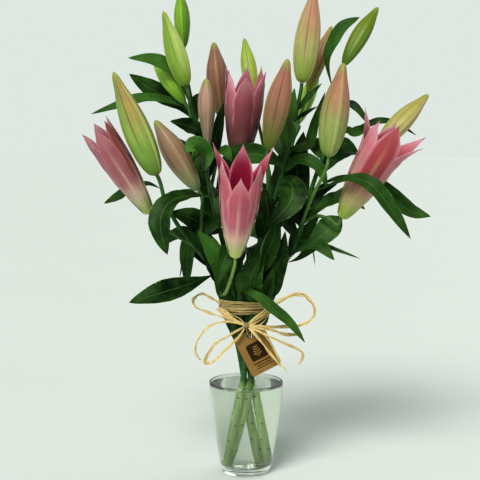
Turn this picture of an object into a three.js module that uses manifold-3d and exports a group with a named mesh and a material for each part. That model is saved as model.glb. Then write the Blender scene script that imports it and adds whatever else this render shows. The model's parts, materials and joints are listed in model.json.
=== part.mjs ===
// Lilies in a vase: four cut lily stems tied with raffia, standing in a glass of water.
// Millimetres, +Z up, origin at the middle of the vase's foot, -Y towards the viewer.
import * as THREE from 'three';
import { mergeVertices } from 'three/addons/utils/BufferGeometryUtils.js';
import Module from 'manifold-3d';

const wasm = await Module();
wasm.setup();

// Vase and water
const footRadius = 29;
const rimRadius = 45;
const rimHeight = 112;
const glassCurve = 1.6;
const glassWall = 2.5;
const glassFloor = 10;
const glassRings = [10, 24, 42, 62, 86];
const footBevel = 2;
const floorBend = 3;
const waterHeight = 108;
const waterInset = 0.15;
const roundSides = 20;

// Fits
const gap = 0.3;
const leafGap = 0.4;
const holeGap = 0.5;

// Stems and flower stalks
const cutRadius = 4.1;
const stemTopRadius = 2.2;
const stalkRootRadius = 2.3;
const stalkTopRadius = 1.9;
const neckLength = 10;
const stemSides = 8;
const stalkSides = 6;

// Leaves
const leafThickness = 1.4;
const leafFold = 0.22;
const leafWave = 0.05;
const leafRipples = 2.5;
const leafWidest = 0.4;
const leafFullness = 0.85;
const leafSteps = 6;
const goldenAngle = THREE.MathUtils.degToRad(137.5);

// Buds: foot of the bud, its tip, greatest width and the share of the length where it is widest
const buds = [
  { foot: [-103, -45, 364], tip: [-150, -62, 481], girth: 30, belly: 0.4, color: 0x8f9a55 },
  { foot: [-71, -10, 468], tip: [-96, -25, 553], girth: 23, belly: 0.4, color: 0x93a65c },
  { foot: [-76, 35, 517], tip: [-81, 55, 589], girth: 18, belly: 0.5, color: 0x7f9c45 },
  { foot: [-74, 15, 449], tip: [-115, 30, 509], girth: 18, belly: 0.5, color: 0x8fa850 },
  { foot: [-30, 40, 432], tip: [-40, 60, 526], girth: 26, belly: 0.5, color: 0xa2746a },
  { foot: [-46, 0, 388], tip: [-47, -10, 477], girth: 20, belly: 0.66, color: 0x9b7f72 },
  { foot: [10, 60, 454], tip: [-2, 95, 534], girth: 18, belly: 0.5, color: 0x8fae49 },
  { foot: [25, -30, 393], tip: [47, -55, 496], girth: 27, belly: 0.5, color: 0xb07a6a },
  { foot: [66, 0, 472], tip: [80, -10, 583], girth: 28, belly: 0.42, color: 0xb58069 },
  { foot: [76, 35, 463], tip: [106, 55, 545], girth: 17, belly: 0.5, color: 0xa88a57 },
  { foot: [117, 15, 494], tip: [161, 40, 566], girth: 20, belly: 0.5, color: 0x86a348 },
  { foot: [94, -50, 385], tip: [109, -65, 491], girth: 31, belly: 0.42, color: 0xb68c6b },
  { foot: [159, 20, 394], tip: [226, 50, 461], girth: 24, belly: 0.46, color: 0xb3a452 },
  { foot: [-57, -12, 345], tip: [-108, -10, 428], girth: 28, belly: 0.5, color: 0xa77f73 },
  { foot: [65, 40, 426], tip: [92, 70, 497], girth: 17, belly: 0.5, color: 0x8fae49 },
];
const budSides = 12;
const budSteps = 6;
const budFootRadius = 2.4;
const budLobe = 0.08;
// Fullness of a bud at its foot, on its shoulder and at its tip
const budFullness = { foot: 0.55, shoulder: 0.95, tip: 0.6 };
const budShoulder = 0.8;
const budNeck = 1.2;

// Opening flowers: foot, middle of the tips, body radius, and for each tepal, counted from the
// one in front, how far its tip stands off the axis and how much of the length it reaches
const blooms = [
  {
    foot: [-113, -30, 319],
    tip: [-174, -50, 420],
    body: 18,
    tipRadius: [13, 17, 18, 14, 20, 19],
    reach: [0.97, 1, 1.02, 1.02, 0.99, 0.97],
    color: 0xc9708a,
  },
  {
    foot: [-13, -62, 270],
    tip: [-4, -85, 393],
    body: 24,
    tipRadius: [24, 27, 38, 22, 38, 29],
    reach: [0.8, 0.92, 1.02, 1.04, 1.02, 0.94],
    color: 0xc65f7f,
  },
  {
    foot: [-9, 0, 373],
    tip: [1, 5, 491],
    body: 23,
    tipRadius: [14, 28, 19, 17, 28, 26],
    reach: [0.9, 0.96, 1.03, 1.03, 1.02, 0.94],
    color: 0xb85873,
  },
  {
    foot: [112, -25, 313],
    tip: [171, -50, 418],
    body: 24,
    tipRadius: [17, 44, 40, 22, 46, 26],
    reach: [1.05, 0.98, 1.04, 1.02, 1, 1],
    color: 0xcb6e8b,
  },
];
const tepalThickness = 1.6;
const tepalOffset = 1;
const tepalSteps = 6;
const tepalColumns = 4;
const tepalSpread = 1.5;
const tepalLean = 1.1;
const tepalFullness = 0.7;
const tepalClaw = 3;
const mostSweep = THREE.MathUtils.degToRad(38);
const tepalRoot = 0.02;
const tepalDroop = 0.05;
const flowerFootRadius = 4.5;
const tubeFullness = 0.8;
const tubeWidest = 0.75;
const flareStart = 0.6;
const cupRings = [2, 7, 12];
const cupBevel = 1.5;
const cupProud = 0.5;
const cupSides = 12;
const seatRadius = 2.6;
const seatHeight = 4;
const styleReach = 0.66;
const styleRadius = 1.1;
const stigmaRadius = 2.6;
const stamenReach = 0.6;
const stamenSpread = 0.42;
const filamentRadius = 0.9;
const antherRadius = 2.1;

// Stems, from the cut end up to the flower head that each one ends in. A stalk leaves its stem
// at its first point and ends at a head. A leaf has the height of its root on the stem, its width,
// the way its upper face looks, the points of its middle line and, where it is far from the middle,
// the share of its length where it is widest. The row of leaves fills the stem between two heights.
const stems = [
  {
    path: [
      [11, 14, 11], [4, 9.5, 64], [-3, 4.6, 118], [-12, 3, 165], [-27, -2, 215], [-39, -8, 249],
      [-52, -12, 267], [-67, -18, 285], [-82, -32, 308], [-94, -41, 334],
    ],
    head: buds[0],
    stalks: [
      { head: blooms[0], path: [[-63, -16, 280], [-84, -24, 293]] },
      { head: buds[13], path: [[-47, -11, 262], [-53, -17, 290], [-53, -14, 320]] },
      { head: blooms[1], path: [[-29, -3, 218], [-24, -20, 224], [-19, -40, 240]] },
    ],
    leaves: [
      { height: 244, width: 28, face: [0.1, -0.85, 0.5], widest: 0.64, path: [
        [-58, -24, 238], [-78, -33, 232], [-103, -45, 226], [-136, -55, 217],
      ] },
      { height: 348, width: 14, face: [0, -0.8, 0.6], widest: 0.6, path: [
        [-117, -22, 353], [-138, 0, 346], [-156, 8, 336], [-172, 8, 328],
      ] },
      { height: 262, width: 20, face: [-0.2, -0.95, 0.2], widest: 0.45, path: [
        [-58, -8, 278], [-67, -4, 283], [-71, -2, 266], [-71, -4, 246], [-72, -8, 220],
      ] },
      { height: 222, width: 27, face: [0.3, -0.9, 0.3], widest: 0.42, path: [
        [-29, -30, 254], [-41, -38, 278], [-57, -42, 300],
      ] },
    ],
    row: { from: 224, to: 281, count: 5, turn: 0.6 },
  },
  {
    path: [
      [20, 4, 11], [13, 4.3, 64], [6, 4.6, 118], [0, 11, 165], [-10, 16.4, 215], [-22, 20, 256],
      [-34, 26, 301], [-45, 24, 350], [-54, 20, 393], [-61, 17, 430], [-70, 25, 470],
    ],
    head: buds[2],
    stalks: [
      { head: buds[1], path: [[-59, 18, 420], [-66, 5, 440]] },
      { head: buds[3], path: [[-62, 18, 425], [-67, 14, 436]] },
      { head: buds[4], path: [[-43, 24, 345], [-36, 35, 380]] },
      { head: buds[5], path: [[-43, 25, 340], [-47, 14, 362]] },
      { head: blooms[2], path: [[-30, 24, 289], [-17, 10, 328]] },
    ],
    leaves: [
      { height: 366, width: 28, face: [-0.1, -0.95, 0.3], widest: 0.55, path: [
        [-57, 4, 374], [-58, -25, 387], [-69, -38, 398], [-81, -42, 390],
      ] },
      { height: 292, width: 28, face: [0, -0.9, 0.4], widest: 0.5, path: [
        [-50, 0, 302], [-67, -6, 312], [-91, -10, 319],
      ] },
      { height: 423, width: 16, face: [0, -0.75, 0.65], widest: 0.6, path: [
        [-76, 22, 446], [-104, 18, 454], [-127, 10, 454], [-155, 4, 445], [-185, -2, 435],
      ] },
      { height: 426, width: 25, face: [0, -0.9, 0.4], widest: 0.55, path: [
        [-80, 38, 447], [-102, 42, 459], [-123, 40, 471], [-143, 36, 485],
      ] },
      { height: 431, width: 17, face: [-0.1, -0.95, 0.3], widest: 0.65, path: [
        [-66, 12, 449], [-79, 8, 480], [-94, 4, 493], [-113, 0, 500], [-140, -4, 501],
      ] },
      { height: 423, width: 12, face: [0, -0.8, 0.5], path: [
        [-62, 20, 448], [-54, 22, 457], [-40, 24, 456],
      ] },
      { height: 374, width: 25, face: [0, -0.8, 0.6], widest: 0.5, path: [
        [-56, 14, 411], [-70, 5, 421], [-91, 0, 427],
      ] },
      { height: 356, width: 16, face: [0.4, -0.9, 0], path: [
        [-40, 18, 393], [-33, 16, 426], [-27, 20, 450],
      ] },
      { height: 216, width: 26, face: [0, -1, 0.1], widest: 0.3, path: [
        [-16, 6, 244], [-14, -6, 272], [-24, -16, 300],
      ] },
      { height: 325, width: 26, face: [0, -0.95, 0.3], widest: 0.6, path: [
        [-29, 0, 360], [-17, -14, 382], [4, -17, 388], [24, -14, 385], [44, -12, 374],
      ] },
      { height: 342, width: 30, face: [-0.25, -0.6, 0.75], widest: 0.62, path: [
        [-45, -10, 337], [-55, -32, 341], [-71, -45, 340], [-88, -55, 333], [-98, -62, 315],
        [-96, -66, 294], [-90, -68, 274],
      ] },
    ],
    row: { from: 240, to: 400, count: 10, turn: 0.2 },
  },
  {
    path: [
      [-20, -8, 11], [-11.5, -6.3, 64], [-3, -4.6, 118], [2, -8.5, 165], [8, -16.4, 215], [9, -8, 255],
      [21, -2, 297], [37, 0, 345], [50, 2, 393], [58, 3, 428],
    ],
    head: buds[8],
    stalks: [
      { head: buds[7], path: [[22, -2, 300], [25, -14, 335], [25, -26, 365]] },
      { head: buds[6], path: [[31, -1, 325], [29, 18, 360], [20, 42, 405]] },
      { head: buds[9], path: [[51, 2, 398], [62, 18, 425]] },
      { head: buds[14], path: [[39, 0, 351], [52, 24, 384]] },
    ],
    leaves: [
      { height: 359, width: 34, face: [0.1, -0.95, 0.2], widest: 0.5, path: [
        [52, -20, 353], [54, -34, 342], [46, -40, 326], [23, -42, 303],
      ] },
      { height: 285, width: 28, face: [-0.1, -0.95, 0.2], path: [[26, -18, 316], [20, -24, 350]] },
      { height: 440, width: 12, face: [0, -0.8, 0.6], path: [[73, -8, 454], [89, -12, 471]] },
      { height: 428, width: 11, face: [0, -0.8, 0.6], path: [[72, 8, 437], [86, 12, 445]] },
      { height: 393, width: 13, face: [-0.3, -0.9, 0.2], path: [
        [74, 6, 399], [83, 2, 428], [94, -2, 462],
      ] },
      { height: 222, width: 15, face: [0.3, -0.8, 0.5], widest: 0.62, path: [
        [1, -40, 228], [14, -48, 223], [31, -50, 209], [51, -49, 192], [69, -46, 168],
      ] },
      { height: 226, width: 34, face: [-0.2, -0.95, 0.2], widest: 0.35, path: [
        [4, -32, 236], [10, -40, 255], [22, -40, 278],
      ] },
      { height: 242, width: 24, face: [-0.3, -0.9, 0.1], path: [
        [21, -26, 264], [33, -30, 292], [35, -30, 322],
      ] },
      { height: 393, width: 15, face: [-0.1, -0.95, 0.2], widest: 0.5, path: [
        [50, -6, 415], [54, -8, 440], [57, -6, 466],
      ] },
    ],
    row: { from: 224, to: 400, count: 11, turn: 0.9 },
  },
  {
    path: [
      [-15, 8, 11.3], [-4.5, 1.7, 64], [6, -4.6, 118], [16, -3, 165], [28, 0, 215], [37, 4, 242],
      [56, 6, 272], [70, 4, 312], [80, 2, 351], [95, 5, 393], [105, 9, 435], [112, 12, 468],
    ],
    head: buds[10],
    stalks: [
      { head: buds[11], path: [[66, 5, 302], [77, -18, 335], [88, -40, 362]] },
      { head: blooms[3], path: [[67, 4, 304], [82, -6, 314], [97, -18, 312]] },
      { head: buds[12], path: [[73, 4, 320], [92, 8, 332], [126, 14, 352]] },
    ],
    leaves: [
      { height: 340, width: 21, face: [0.2, -0.85, 0.5], widest: 0.66, path: [
        [98, -30, 352], [120, -62, 361], [141, -80, 353], [161, -84, 328], [185, -80, 293],
      ] },
      { height: 345, width: 23, face: [0.1, -0.85, 0.5], widest: 0.64, path: [
        [113, 6, 359], [154, -2, 352], [175, -8, 336], [196, -12, 320], [219, -16, 314],
      ] },
      { height: 284, width: 11, face: [0, -0.5, 0.9], path: [[94, 0, 277], [137, -10, 263]] },
      { height: 216, width: 26, face: [-0.1, -0.95, 0.1], widest: 0.3, path: [
        [33, -12, 242], [42, -22, 268], [46, -26, 298],
      ] },
      { height: 255, width: 30, face: [-0.2, -0.9, 0.3], widest: 0.72, path: [
        [65, -8, 265], [86, -12, 286], [100, -8, 300], [114, -4, 313],
      ] },
      { height: 265, width: 20, face: [-0.4, -0.8, 0.4], path: [[70, 19, 288], [91, 28, 314]] },
      { height: 323, width: 18, face: [0, -0.7, 0.7], path: [[87, 12, 340], [112, 18, 353]] },
      { height: 432, width: 12, face: [0.2, -0.8, 0.5], widest: 0.5, path: [
        [120, 0, 447], [132, -8, 440], [144, -12, 423],
      ] },
      { height: 405, width: 13, face: [0, -0.9, 0.3], widest: 0.66, path: [
        [119, 8, 418], [127, 6, 414], [136, 4, 416], [149, 3, 424],
      ] },
      { height: 393, width: 15, face: [0, -0.9, 0.4], widest: 0.5, path: [
        [115, 2, 401], [134, -3, 389],
      ] },
      { height: 448, width: 16, face: [-0.3, -0.95, 0.2], widest: 0.74, path: [
        [104, 26, 470], [99, 28, 492], [99, 28, 508], [106, 28, 524], [117, 27, 541],
        [137, 25, 552],
      ] },
      { height: 299, width: 32, face: [0, -1, 0.1], widest: 0.5, path: [
        [62, 9, 332], [66, 11, 372], [80, 17, 415],
      ] },
      { height: 410, width: 10, face: [0, -0.8, 0.6], widest: 0.5, path: [
        [137, 30, 418], [164, 50, 428], [188, 56, 425], [213, 54, 410],
      ] },
    ],
    row: { from: 228, to: 420, count: 11, turn: 0.4 },
  },
];
const rowLeafLength = 88;
const rowLeafWidth = 26;
const rowRoll = 0.8;
const rowShortening = 0.3;
const rowNarrowing = 0.25;
const rootRoom = 12;
// Middle lines of a rising, an arching and a drooping leaf, as shares of its length out and up
const rowHabits = [
  [[0.2, 0.32], [0.4, 0.66], [0.62, 0.88]],
  [[0.34, 0.3], [0.7, 0.4], [0.98, 0.22]],
  [[0.32, 0.24], [0.66, 0.12], [0.84, -0.26]],
];
// Turn in degrees about the stem and lift per mm of reach, tried in this order until a leaf is clear
const nudges = [
  [0, 0], [0, 0.12], [0, -0.12], [8, 0], [-8, 0], [8, 0.12], [-8, 0.12], [16, 0], [-16, 0],
  [24, 0.1], [-24, 0.1], [24, -0.1], [-24, -0.1], [36, 0], [-36, 0], [50, 0.1], [-50, 0.1],
];

// Raffia tie
const wrapHalfWidth = 31.4;
const wrapHalfDepth = 21.4;
const wrapLow = 198;
const wrapHeight = 14;
const wrapTurns = 3;
const ridgeFoot = 1;
const ridgeTop = 2;
const knot = [0, -26, 185];
const knotRadii = [6.5, 5, 5.5];
const strandThickness = 0.9;
const strandFace = [0.15, -1, 0.25];
const strands = [
  { width: 4, path: [[-32.4, -4, 206], [-27, -18, 199], [-13, -25, 192], knot] },
  { width: 4, path: [[32.4, -4, 204], [26, -18, 197], [13, -25, 190], knot] },
  { width: 2.4, path: [
    knot, [-22, -29, 193], [-45, -28, 202], [-60, -26, 207], [-62, -22, 216], [-54, -18, 222],
    [-43, -14, 218], [-31, -12, 209],
  ] },
  { width: 2.6, path: [
    knot, [-22, -31, 191], [-43, -33, 186], [-56, -33, 171], [-60, -31, 156], [-54, -29, 143],
  ] },
  { width: 4.5, path: [
    knot, [-17, -31, 176], [-36, -34, 165], [-46, -33, 152], [-47, -30, 140], [-38, -28, 143],
    [-24, -27, 157], [-8, -26, 173], knot,
  ] },
  { width: 2.8, path: [
    knot, [16, -31, 200], [37, -34, 214], [62, -32, 223], [75, -31, 216], [80, -33, 202],
    [71, -34, 190], [52, -33, 184], [23, -30, 185], knot,
  ] },
  { width: 3, path: [knot, [23, -34, 182], [47, -36, 177], [67, -34, 175]] },
  { width: 4.5, path: [
    knot, [23, -33, 175], [48, -35, 165], [66, -35, 155], [67, -33, 147], [62, -32, 140],
  ] },
  { width: 3, path: [knot, [13, -33, 172], [27, -32, 155], [41, -28, 136]] },
  { width: 2.4, path: [knot, [19, -32, 177], [33, -32, 158], [40, -29, 142], [49, -28, 130]] },
];
const strandStepsPerPoint = 1.3;
const loopWidth = 2;

// Kraft card tag on a loop of raffia from the knot
const tagWidth = 39;
const tagHeight = 52;
const tagThickness = 0.8;
const tagCorner = 4;
const tagHole = 3.5;
const tagHoleRise = 20.5;
const tagMiddle = [13.5, -21, 153.5];
const tagTurn = THREE.MathUtils.degToRad(-27);
const tagLean = THREE.MathUtils.degToRad(6);

const up = new THREE.Vector3(0, 0, 1);
const vector = ([x, y, z]) => new THREE.Vector3(x, y, z);
const curveThrough = points => new THREE.CatmullRomCurve3(points.map(vector), false, 'catmullrom', 0.5);
const glassRadius = z => footRadius + (rimRadius - footRadius) * (1 - (1 - z / rimHeight) ** glassCurve);
const smooth = t => THREE.MathUtils.smoothstep(t, 0, 1);

// Boolean helpers
function toSolid(geometry) {
  const plain = geometry.clone();
  plain.deleteAttribute('normal');
  plain.deleteAttribute('uv');
  const merged = mergeVertices(plain, 1e-4);
  const vertProperties = new Float32Array(merged.attributes.position.array);
  const triVerts = new Uint32Array(merged.index.array);
  return new wasm.Manifold(new wasm.Mesh({ numProp: 3, vertProperties, triVerts }));
}

function toGeometry(solid) {
  const mesh = solid.getMesh();
  const geometry = new THREE.BufferGeometry();
  geometry.setAttribute('position', new THREE.BufferAttribute(new Float32Array(mesh.vertProperties), 3));
  geometry.setIndex(new THREE.BufferAttribute(new Uint32Array(mesh.triVerts), 1));
  return geometry;
}

// One body of what was joined: sealed hollows are filled and loose scraps dropped
function oneBody(solid) {
  const bodies = solid.decompose().filter(body => body.volume() > 0);
  return bodies.reduce((best, body) => (body.volume() > best.volume() ? body : best));
}

function join(solids) {
  return oneBody(solids.reduce((sum, solid) => sum.add(solid)));
}

// Skin over rings of points that run anticlockwise seen from the far end. A ring of one point is
// a tip. On a blade the second half of each ring is the underside, split along the same lines.
function skin(rings, isBlade = false) {
  const geometry = new THREE.BufferGeometry().setFromPoints(rings.flat());
  const index = [];
  let start = 0;
  for (let ring = 0; ring + 1 < rings.length; ring++) {
    const here = rings[ring].length;
    const next = rings[ring + 1].length;
    const sides = Math.max(here, next);
    for (let side = 0; side < sides; side++) {
      const after = (side + 1) % sides;
      const a = start + (here === 1 ? 0 : side);
      const b = start + (here === 1 ? 0 : after);
      const c = start + here + (next === 1 ? 0 : after);
      const d = start + here + (next === 1 ? 0 : side);
      const underside = isBlade && side >= sides / 2;
      if (here === 1) index.push(a, c, d);
      else if (next === 1) index.push(a, b, d);
      else if (underside) index.push(a, b, d, b, c, d);
      else index.push(a, b, c, a, c, d);
    }
    start += here;
  }
  geometry.setIndex(index);
  return geometry;
}

const taper = (start, end) => u => THREE.MathUtils.lerp(start, end, u);

// Round rod along a smooth line, its radius given along its length
function rod(path, radiusAt, sides, steps) {
  const curve = curveThrough(path);
  const frames = curve.computeFrenetFrames(steps, false);
  const rings = [[curve.getPointAt(0)]];
  for (let step = 0; step <= steps; step++) {
    const radius = radiusAt(step / steps);
    const middle = curve.getPointAt(step / steps);
    rings.push(Array.from({ length: sides }, (_, side) => {
      const angle = (side / sides) * 2 * Math.PI;
      return middle.clone()
        .addScaledVector(frames.normals[step], radius * Math.cos(angle))
        .addScaledVector(frames.binormals[step], radius * Math.sin(angle));
    }));
  }
  rings.push([curve.getPointAt(1)]);
  return skin(rings);
}

// Flat lens-shaped strip along a smooth line, creased along its middle
function strip(path, face, steps, halfWidth, thickness, fold, wave, isOpen) {
  const curve = curveThrough(path);
  const rings = [];
  for (let step = 0; step <= steps; step++) {
    const t = step / steps;
    const middle = curve.getPoint(t);
    if (!isOpen && (step === 0 || step === steps)) {
      rings.push([middle]);
      continue;
    }
    const along = curve.getTangent(t);
    const side = vector(face).cross(along).normalize();
    const above = along.clone().cross(side);
    const half = halfWidth(t);
    const ripple = wave * half * Math.sin(leafRipples * 2 * Math.PI * t);
    rings.push([
      middle.clone().addScaledVector(side, half).addScaledVector(above, fold * half + ripple),
      middle.clone().addScaledVector(above, thickness / 2),
      middle.clone().addScaledVector(side, -half).addScaledVector(above, fold * half - ripple),
      middle.clone().addScaledVector(above, -thickness / 2),
    ]);
  }
  if (isOpen) {
    rings.unshift([curve.getPoint(0)]);
    rings.push([curve.getPoint(1)]);
  }
  return skin(rings, true);
}

// Shape turned round the upright axis from an outline of [radius, height] points
function turned(outline, sides) {
  const points = outline.map(([radius, height]) => new THREE.Vector2(radius, height));
  return new THREE.LatheGeometry(points, sides).rotateX(Math.PI / 2);
}

// Direction of a flower head, the direction in front of it, and the one to the right of that
function headFrame(head) {
  const along = vector(head.tip).sub(vector(head.foot)).normalize();
  const front = new THREE.Vector3(0, -1, 0);
  front.addScaledVector(along, -front.dot(along)).normalize();
  return { foot: vector(head.foot), along, front, right: along.clone().cross(front) };
}

const headLength = head => vector(head.tip).distanceTo(vector(head.foot));

// Moves a shape that stands on the origin along +Z to the place of a flower head
function standOnFoot(geometry, head) {
  const { foot, along, front, right } = headFrame(head);
  return geometry.applyMatrix4(new THREE.Matrix4().makeBasis(front, right, along).setPosition(foot));
}

function glassVase() {
  const outside = [footBevel, ...glassRings, rimHeight].map(z => [glassRadius(z), z]);
  const inside = [glassFloor + floorBend, ...glassRings.slice(1), rimHeight]
    .map(z => [glassRadius(z) - glassWall, z]);
  const floorEdge = glassRadius(glassFloor) - glassWall - floorBend;
  const outline = [
    [0, 0], [footRadius - footBevel, 0], ...outside,
    ...inside.reverse(), [floorEdge, glassFloor], [0, glassFloor],
  ];
  return turned(outline, roundSides);
}

function waterBody() {
  const bottom = glassFloor + gap;
  const inset = glassWall + gap + waterInset;
  const side = [bottom + floorBend, ...glassRings.slice(1), waterHeight]
    .map(z => [glassRadius(z) - inset, z]);
  const floorEdge = glassRadius(glassFloor) - inset - floorBend;
  return toSolid(turned([[0, bottom], [floorEdge, bottom], ...side, [0, waterHeight]], roundSides));
}

// Hole round a stem, run on past both faces of the water
function stemHole(stem) {
  const below = vector(stem.path[0]).multiplyScalar(2).sub(vector(stem.path[1]));
  const start = vector(stem.path[0]).lerp(below, 0.2);
  const path = [start.toArray(), ...stem.path.slice(1, 4)];
  return toSolid(rod(path, taper(cutRadius + holeGap, cutRadius), stemSides, 6));
}

// Rounded three-lobed spindle: the lobes are the ribs of the three outer tepals
function bud(shape) {
  const length = headLength(shape);
  const lean = Math.log(0.5) / Math.log(shape.belly);
  const outline = [[0, 0], [budFootRadius, 0]];
  for (let step = 1; step < budSteps; step++) {
    const t = step / budSteps;
    const tipShare = smooth((t - budShoulder) / (1 - budShoulder));
    const side = THREE.MathUtils.lerp(budFullness.foot, budFullness.shoulder, t);
    const fullness = THREE.MathUtils.lerp(side, budFullness.tip, tipShare);
    const swell = Math.sin(Math.PI * t ** lean) ** fullness;
    outline.push([(shape.girth / 2) * swell + budNeck * (1 - t), t * length]);
  }
  const geometry = turned([...outline, [0, length]], budSides);
  const position = geometry.attributes.position;
  for (let i = 0; i < position.count; i++) {
    const lobes = 1 + budLobe * Math.cos(3 * Math.atan2(position.getY(i), position.getX(i)));
    position.setX(i, position.getX(i) * lobes);
    position.setY(i, position.getY(i) * lobes);
  }
  return toSolid(standOnFoot(geometry, shape));
}

// Distance of the flower's wall from its axis at a share of its length and an angle from the front
function flowerRadius(flower, share, angle) {
  const sector = ((angle * 3) / Math.PI + 12) % 6;
  const k = Math.floor(sector);
  const tip = THREE.MathUtils.lerp(flower.tipRadius[k], flower.tipRadius[(k + 1) % 6], smooth(sector - k));
  const swell = Math.sin((Math.PI / 2) * Math.min(share / tubeWidest, 1)) ** tubeFullness;
  const tube = flowerFootRadius + (flower.body - flowerFootRadius) * swell;
  const flare = Math.max(0, (share - flareStart) / (1 - flareStart)) ** 2;
  return tube + (tip - flower.body) * flare;
}

function tepalHalfWidth(s, body) {
  const blade = tepalSpread * body * Math.sin(Math.PI * s ** tepalLean) ** tepalFullness;
  return blade / 2 + tepalClaw * (1 - s) ** 3;
}

// Number k of the six: even ones are the outer three, odd ones the inner three
function tepal(flower, k) {
  const { foot, along, front, right } = headFrame(flower);
  const length = headLength(flower);
  const turn = (k * Math.PI) / 3;
  const offset = k % 2 ? -tepalOffset : tepalOffset;
  const place = (share, angle, out) => {
    const radius = flowerRadius(flower, share, angle) + out;
    return foot.clone()
      .addScaledVector(front, radius * Math.cos(angle))
      .addScaledVector(right, radius * Math.sin(angle))
      .addScaledVector(along, share * length);
  };
  const rings = [[place(tepalRoot, turn, offset)]];
  for (let step = 0; step < tepalSteps; step++) {
    const s = step / tepalSteps;
    const share = tepalRoot + (flower.reach[k] - tepalRoot) * s;
    const sweep = Math.min(tepalHalfWidth(s, flower.body) / flowerRadius(flower, share, turn), mostSweep);
    const face = [];
    const underside = [];
    for (let column = 0; column <= tepalColumns; column++) {
      const q = 1 - (2 * column) / tepalColumns;
      const thick = (tepalThickness / 2) * (1 - q * q);
      const angle = turn - q * sweep;
      const droop = share - tepalDroop * q * q * s;
      if (column % tepalColumns === 0) {
        face.push(place(droop, angle, offset));
      } else {
        face.push(place(droop, angle, offset + thick));
        underside.unshift(place(droop, angle, offset - thick));
      }
    }
    rings.push([...face, ...underside]);
  }
  rings.push([place(flower.reach[k], turn, offset)]);
  return toSolid(skin(rings, true));
}

// Solid green foot in which the six tepals are grown together
function flowerCup(flower) {
  const length = headLength(flower);
  const side = cupRings.map(z => [flowerRadius(flower, z / length, 0) + cupProud, z]);
  const outline = [[0, 0], [flowerFootRadius - cupBevel, 0], ...side, [0, cupRings.at(-1)]];
  return toSolid(standOnFoot(turned(outline, cupSides), flower));
}

function bloom(flower) {
  const tepals = [0, 1, 2, 3, 4, 5].map(k => tepal(flower, k));
  return join([flowerCup(flower), ...tepals]);
}

// Six stamens round the pistil, on one small seat above the flower's foot
function stamens(flower) {
  const { foot, along, front, right } = headFrame(flower);
  const length = headLength(flower);
  const floor = cupRings.at(-1) + gap;
  const place = (radius, angle, height) => foot.clone()
    .addScaledVector(front, radius * Math.cos(angle))
    .addScaledVector(right, radius * Math.sin(angle))
    .addScaledVector(along, height)
    .toArray();
  const seatTop = floor + seatHeight;
  const seat = turned([[0, floor], [seatRadius, floor], [seatRadius, seatTop], [0, seatTop + 1]], 6);
  const style = [place(0, 0, floor + 1), place(0, 0, length * 0.4), place(0, 0, length * styleReach)];
  const parts = [
    toSolid(standOnFoot(seat, flower)),
    toSolid(rod(style, u => (u > 0.9 ? stigmaRadius : styleRadius), 5, 4)),
  ];
  for (let k = 0; k < 6; k++) {
    const angle = ((k + 0.5) * Math.PI) / 3;
    const out = flower.body * stamenSpread;
    const stamen = [
      place(1.4, angle, floor + 1),
      place(out * 0.5, angle, length * 0.35),
      place(out, angle, length * stamenReach),
    ];
    parts.push(toSolid(rod(stamen, u => (u > 0.7 ? antherRadius : filamentRadius), 3, 3)));
  }
  return join(parts);
}

// Line of a stalk or stem that runs straight into the foot of the head it carries
function lineToHead(path, head) {
  const { foot, along } = headFrame(head);
  const neck = foot.clone().addScaledVector(along, -neckLength);
  const end = foot.clone().addScaledVector(along, -gap);
  return [...path, neck.toArray(), end.toArray()];
}

function stemWood(stem) {
  const line = lineToHead(stem.path, stem.head);
  const steps = Math.round(1.25 * line.length);
  const parts = [toSolid(rod(line, taper(cutRadius, stemTopRadius), stemSides, steps))];
  for (const stalk of stem.stalks) {
    const stalkLine = lineToHead(stalk.path, stalk.head);
    const radius = taper(stalkRootRadius, stalkTopRadius);
    parts.push(toSolid(rod(stalkLine, radius, stalkSides, stalkLine.length + 1)));
  }
  return join(parts);
}

function leafHalfWidth(t, { width, widest = leafWidest }) {
  const lean = Math.log(0.5) / Math.log(widest);
  return (width / 2) * Math.sin(Math.PI * t ** lean) ** leafFullness;
}

// Leaf path turned about its root and lifted by a nudge
function nudged(path, [degrees, lift]) {
  const root = vector(path[0]);
  const angle = THREE.MathUtils.degToRad(degrees);
  return path.map(at => {
    const reach = vector(at).sub(root);
    reach.z += lift * Math.hypot(reach.x, reach.y);
    return reach.applyAxisAngle(up, angle).add(root).toArray();
  });
}

function leaf(stem, shape, nudge) {
  const root = atHeight(stem, shape.height);
  const path = nudged([root.toArray(), ...shape.path], nudge);
  const steps = Math.max(leafSteps, path.length + 2);
  const halfWidth = t => leafHalfWidth(t, shape);
  return toSolid(strip(path, shape.face, steps, halfWidth, leafThickness, leafFold, leafWave));
}

// Point of a stem's line at a given height
function atHeight(stem, height) {
  const line = lineToHead(stem.path, stem.head);
  const after = line.findIndex(at => at[2] > height);
  const share = (height - line[after - 1][2]) / (line[after][2] - line[after - 1][2]);
  return vector(line[after - 1]).lerp(vector(line[after]), share);
}

// Leaves set round the stem by the golden angle, smaller towards the top
function rowOfLeaves(stem) {
  const { from, to, count, turn } = stem.row;
  return Array.from({ length: count }, (_, i) => {
    const share = i / (count - 1);
    const height = from + (to - from) * share;
    const root = atHeight(stem, height);
    const angle = i * goldenAngle + turn * 2 * Math.PI;
    const length = rowLeafLength * (1 - rowShortening * share);
    const roll = -rowRoll * Math.sign(Math.cos(angle));
    return {
      height,
      width: rowLeafWidth * (1 - rowNarrowing * share),
      face: [-roll * Math.sin(angle), roll * Math.cos(angle), 1],
      path: rowHabits[i % rowHabits.length].map(([out, rise]) => [
        root.x + out * length * Math.cos(angle),
        root.y + out * length * Math.sin(angle),
        root.z + rise * length,
      ]),
    };
  });
}

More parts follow.
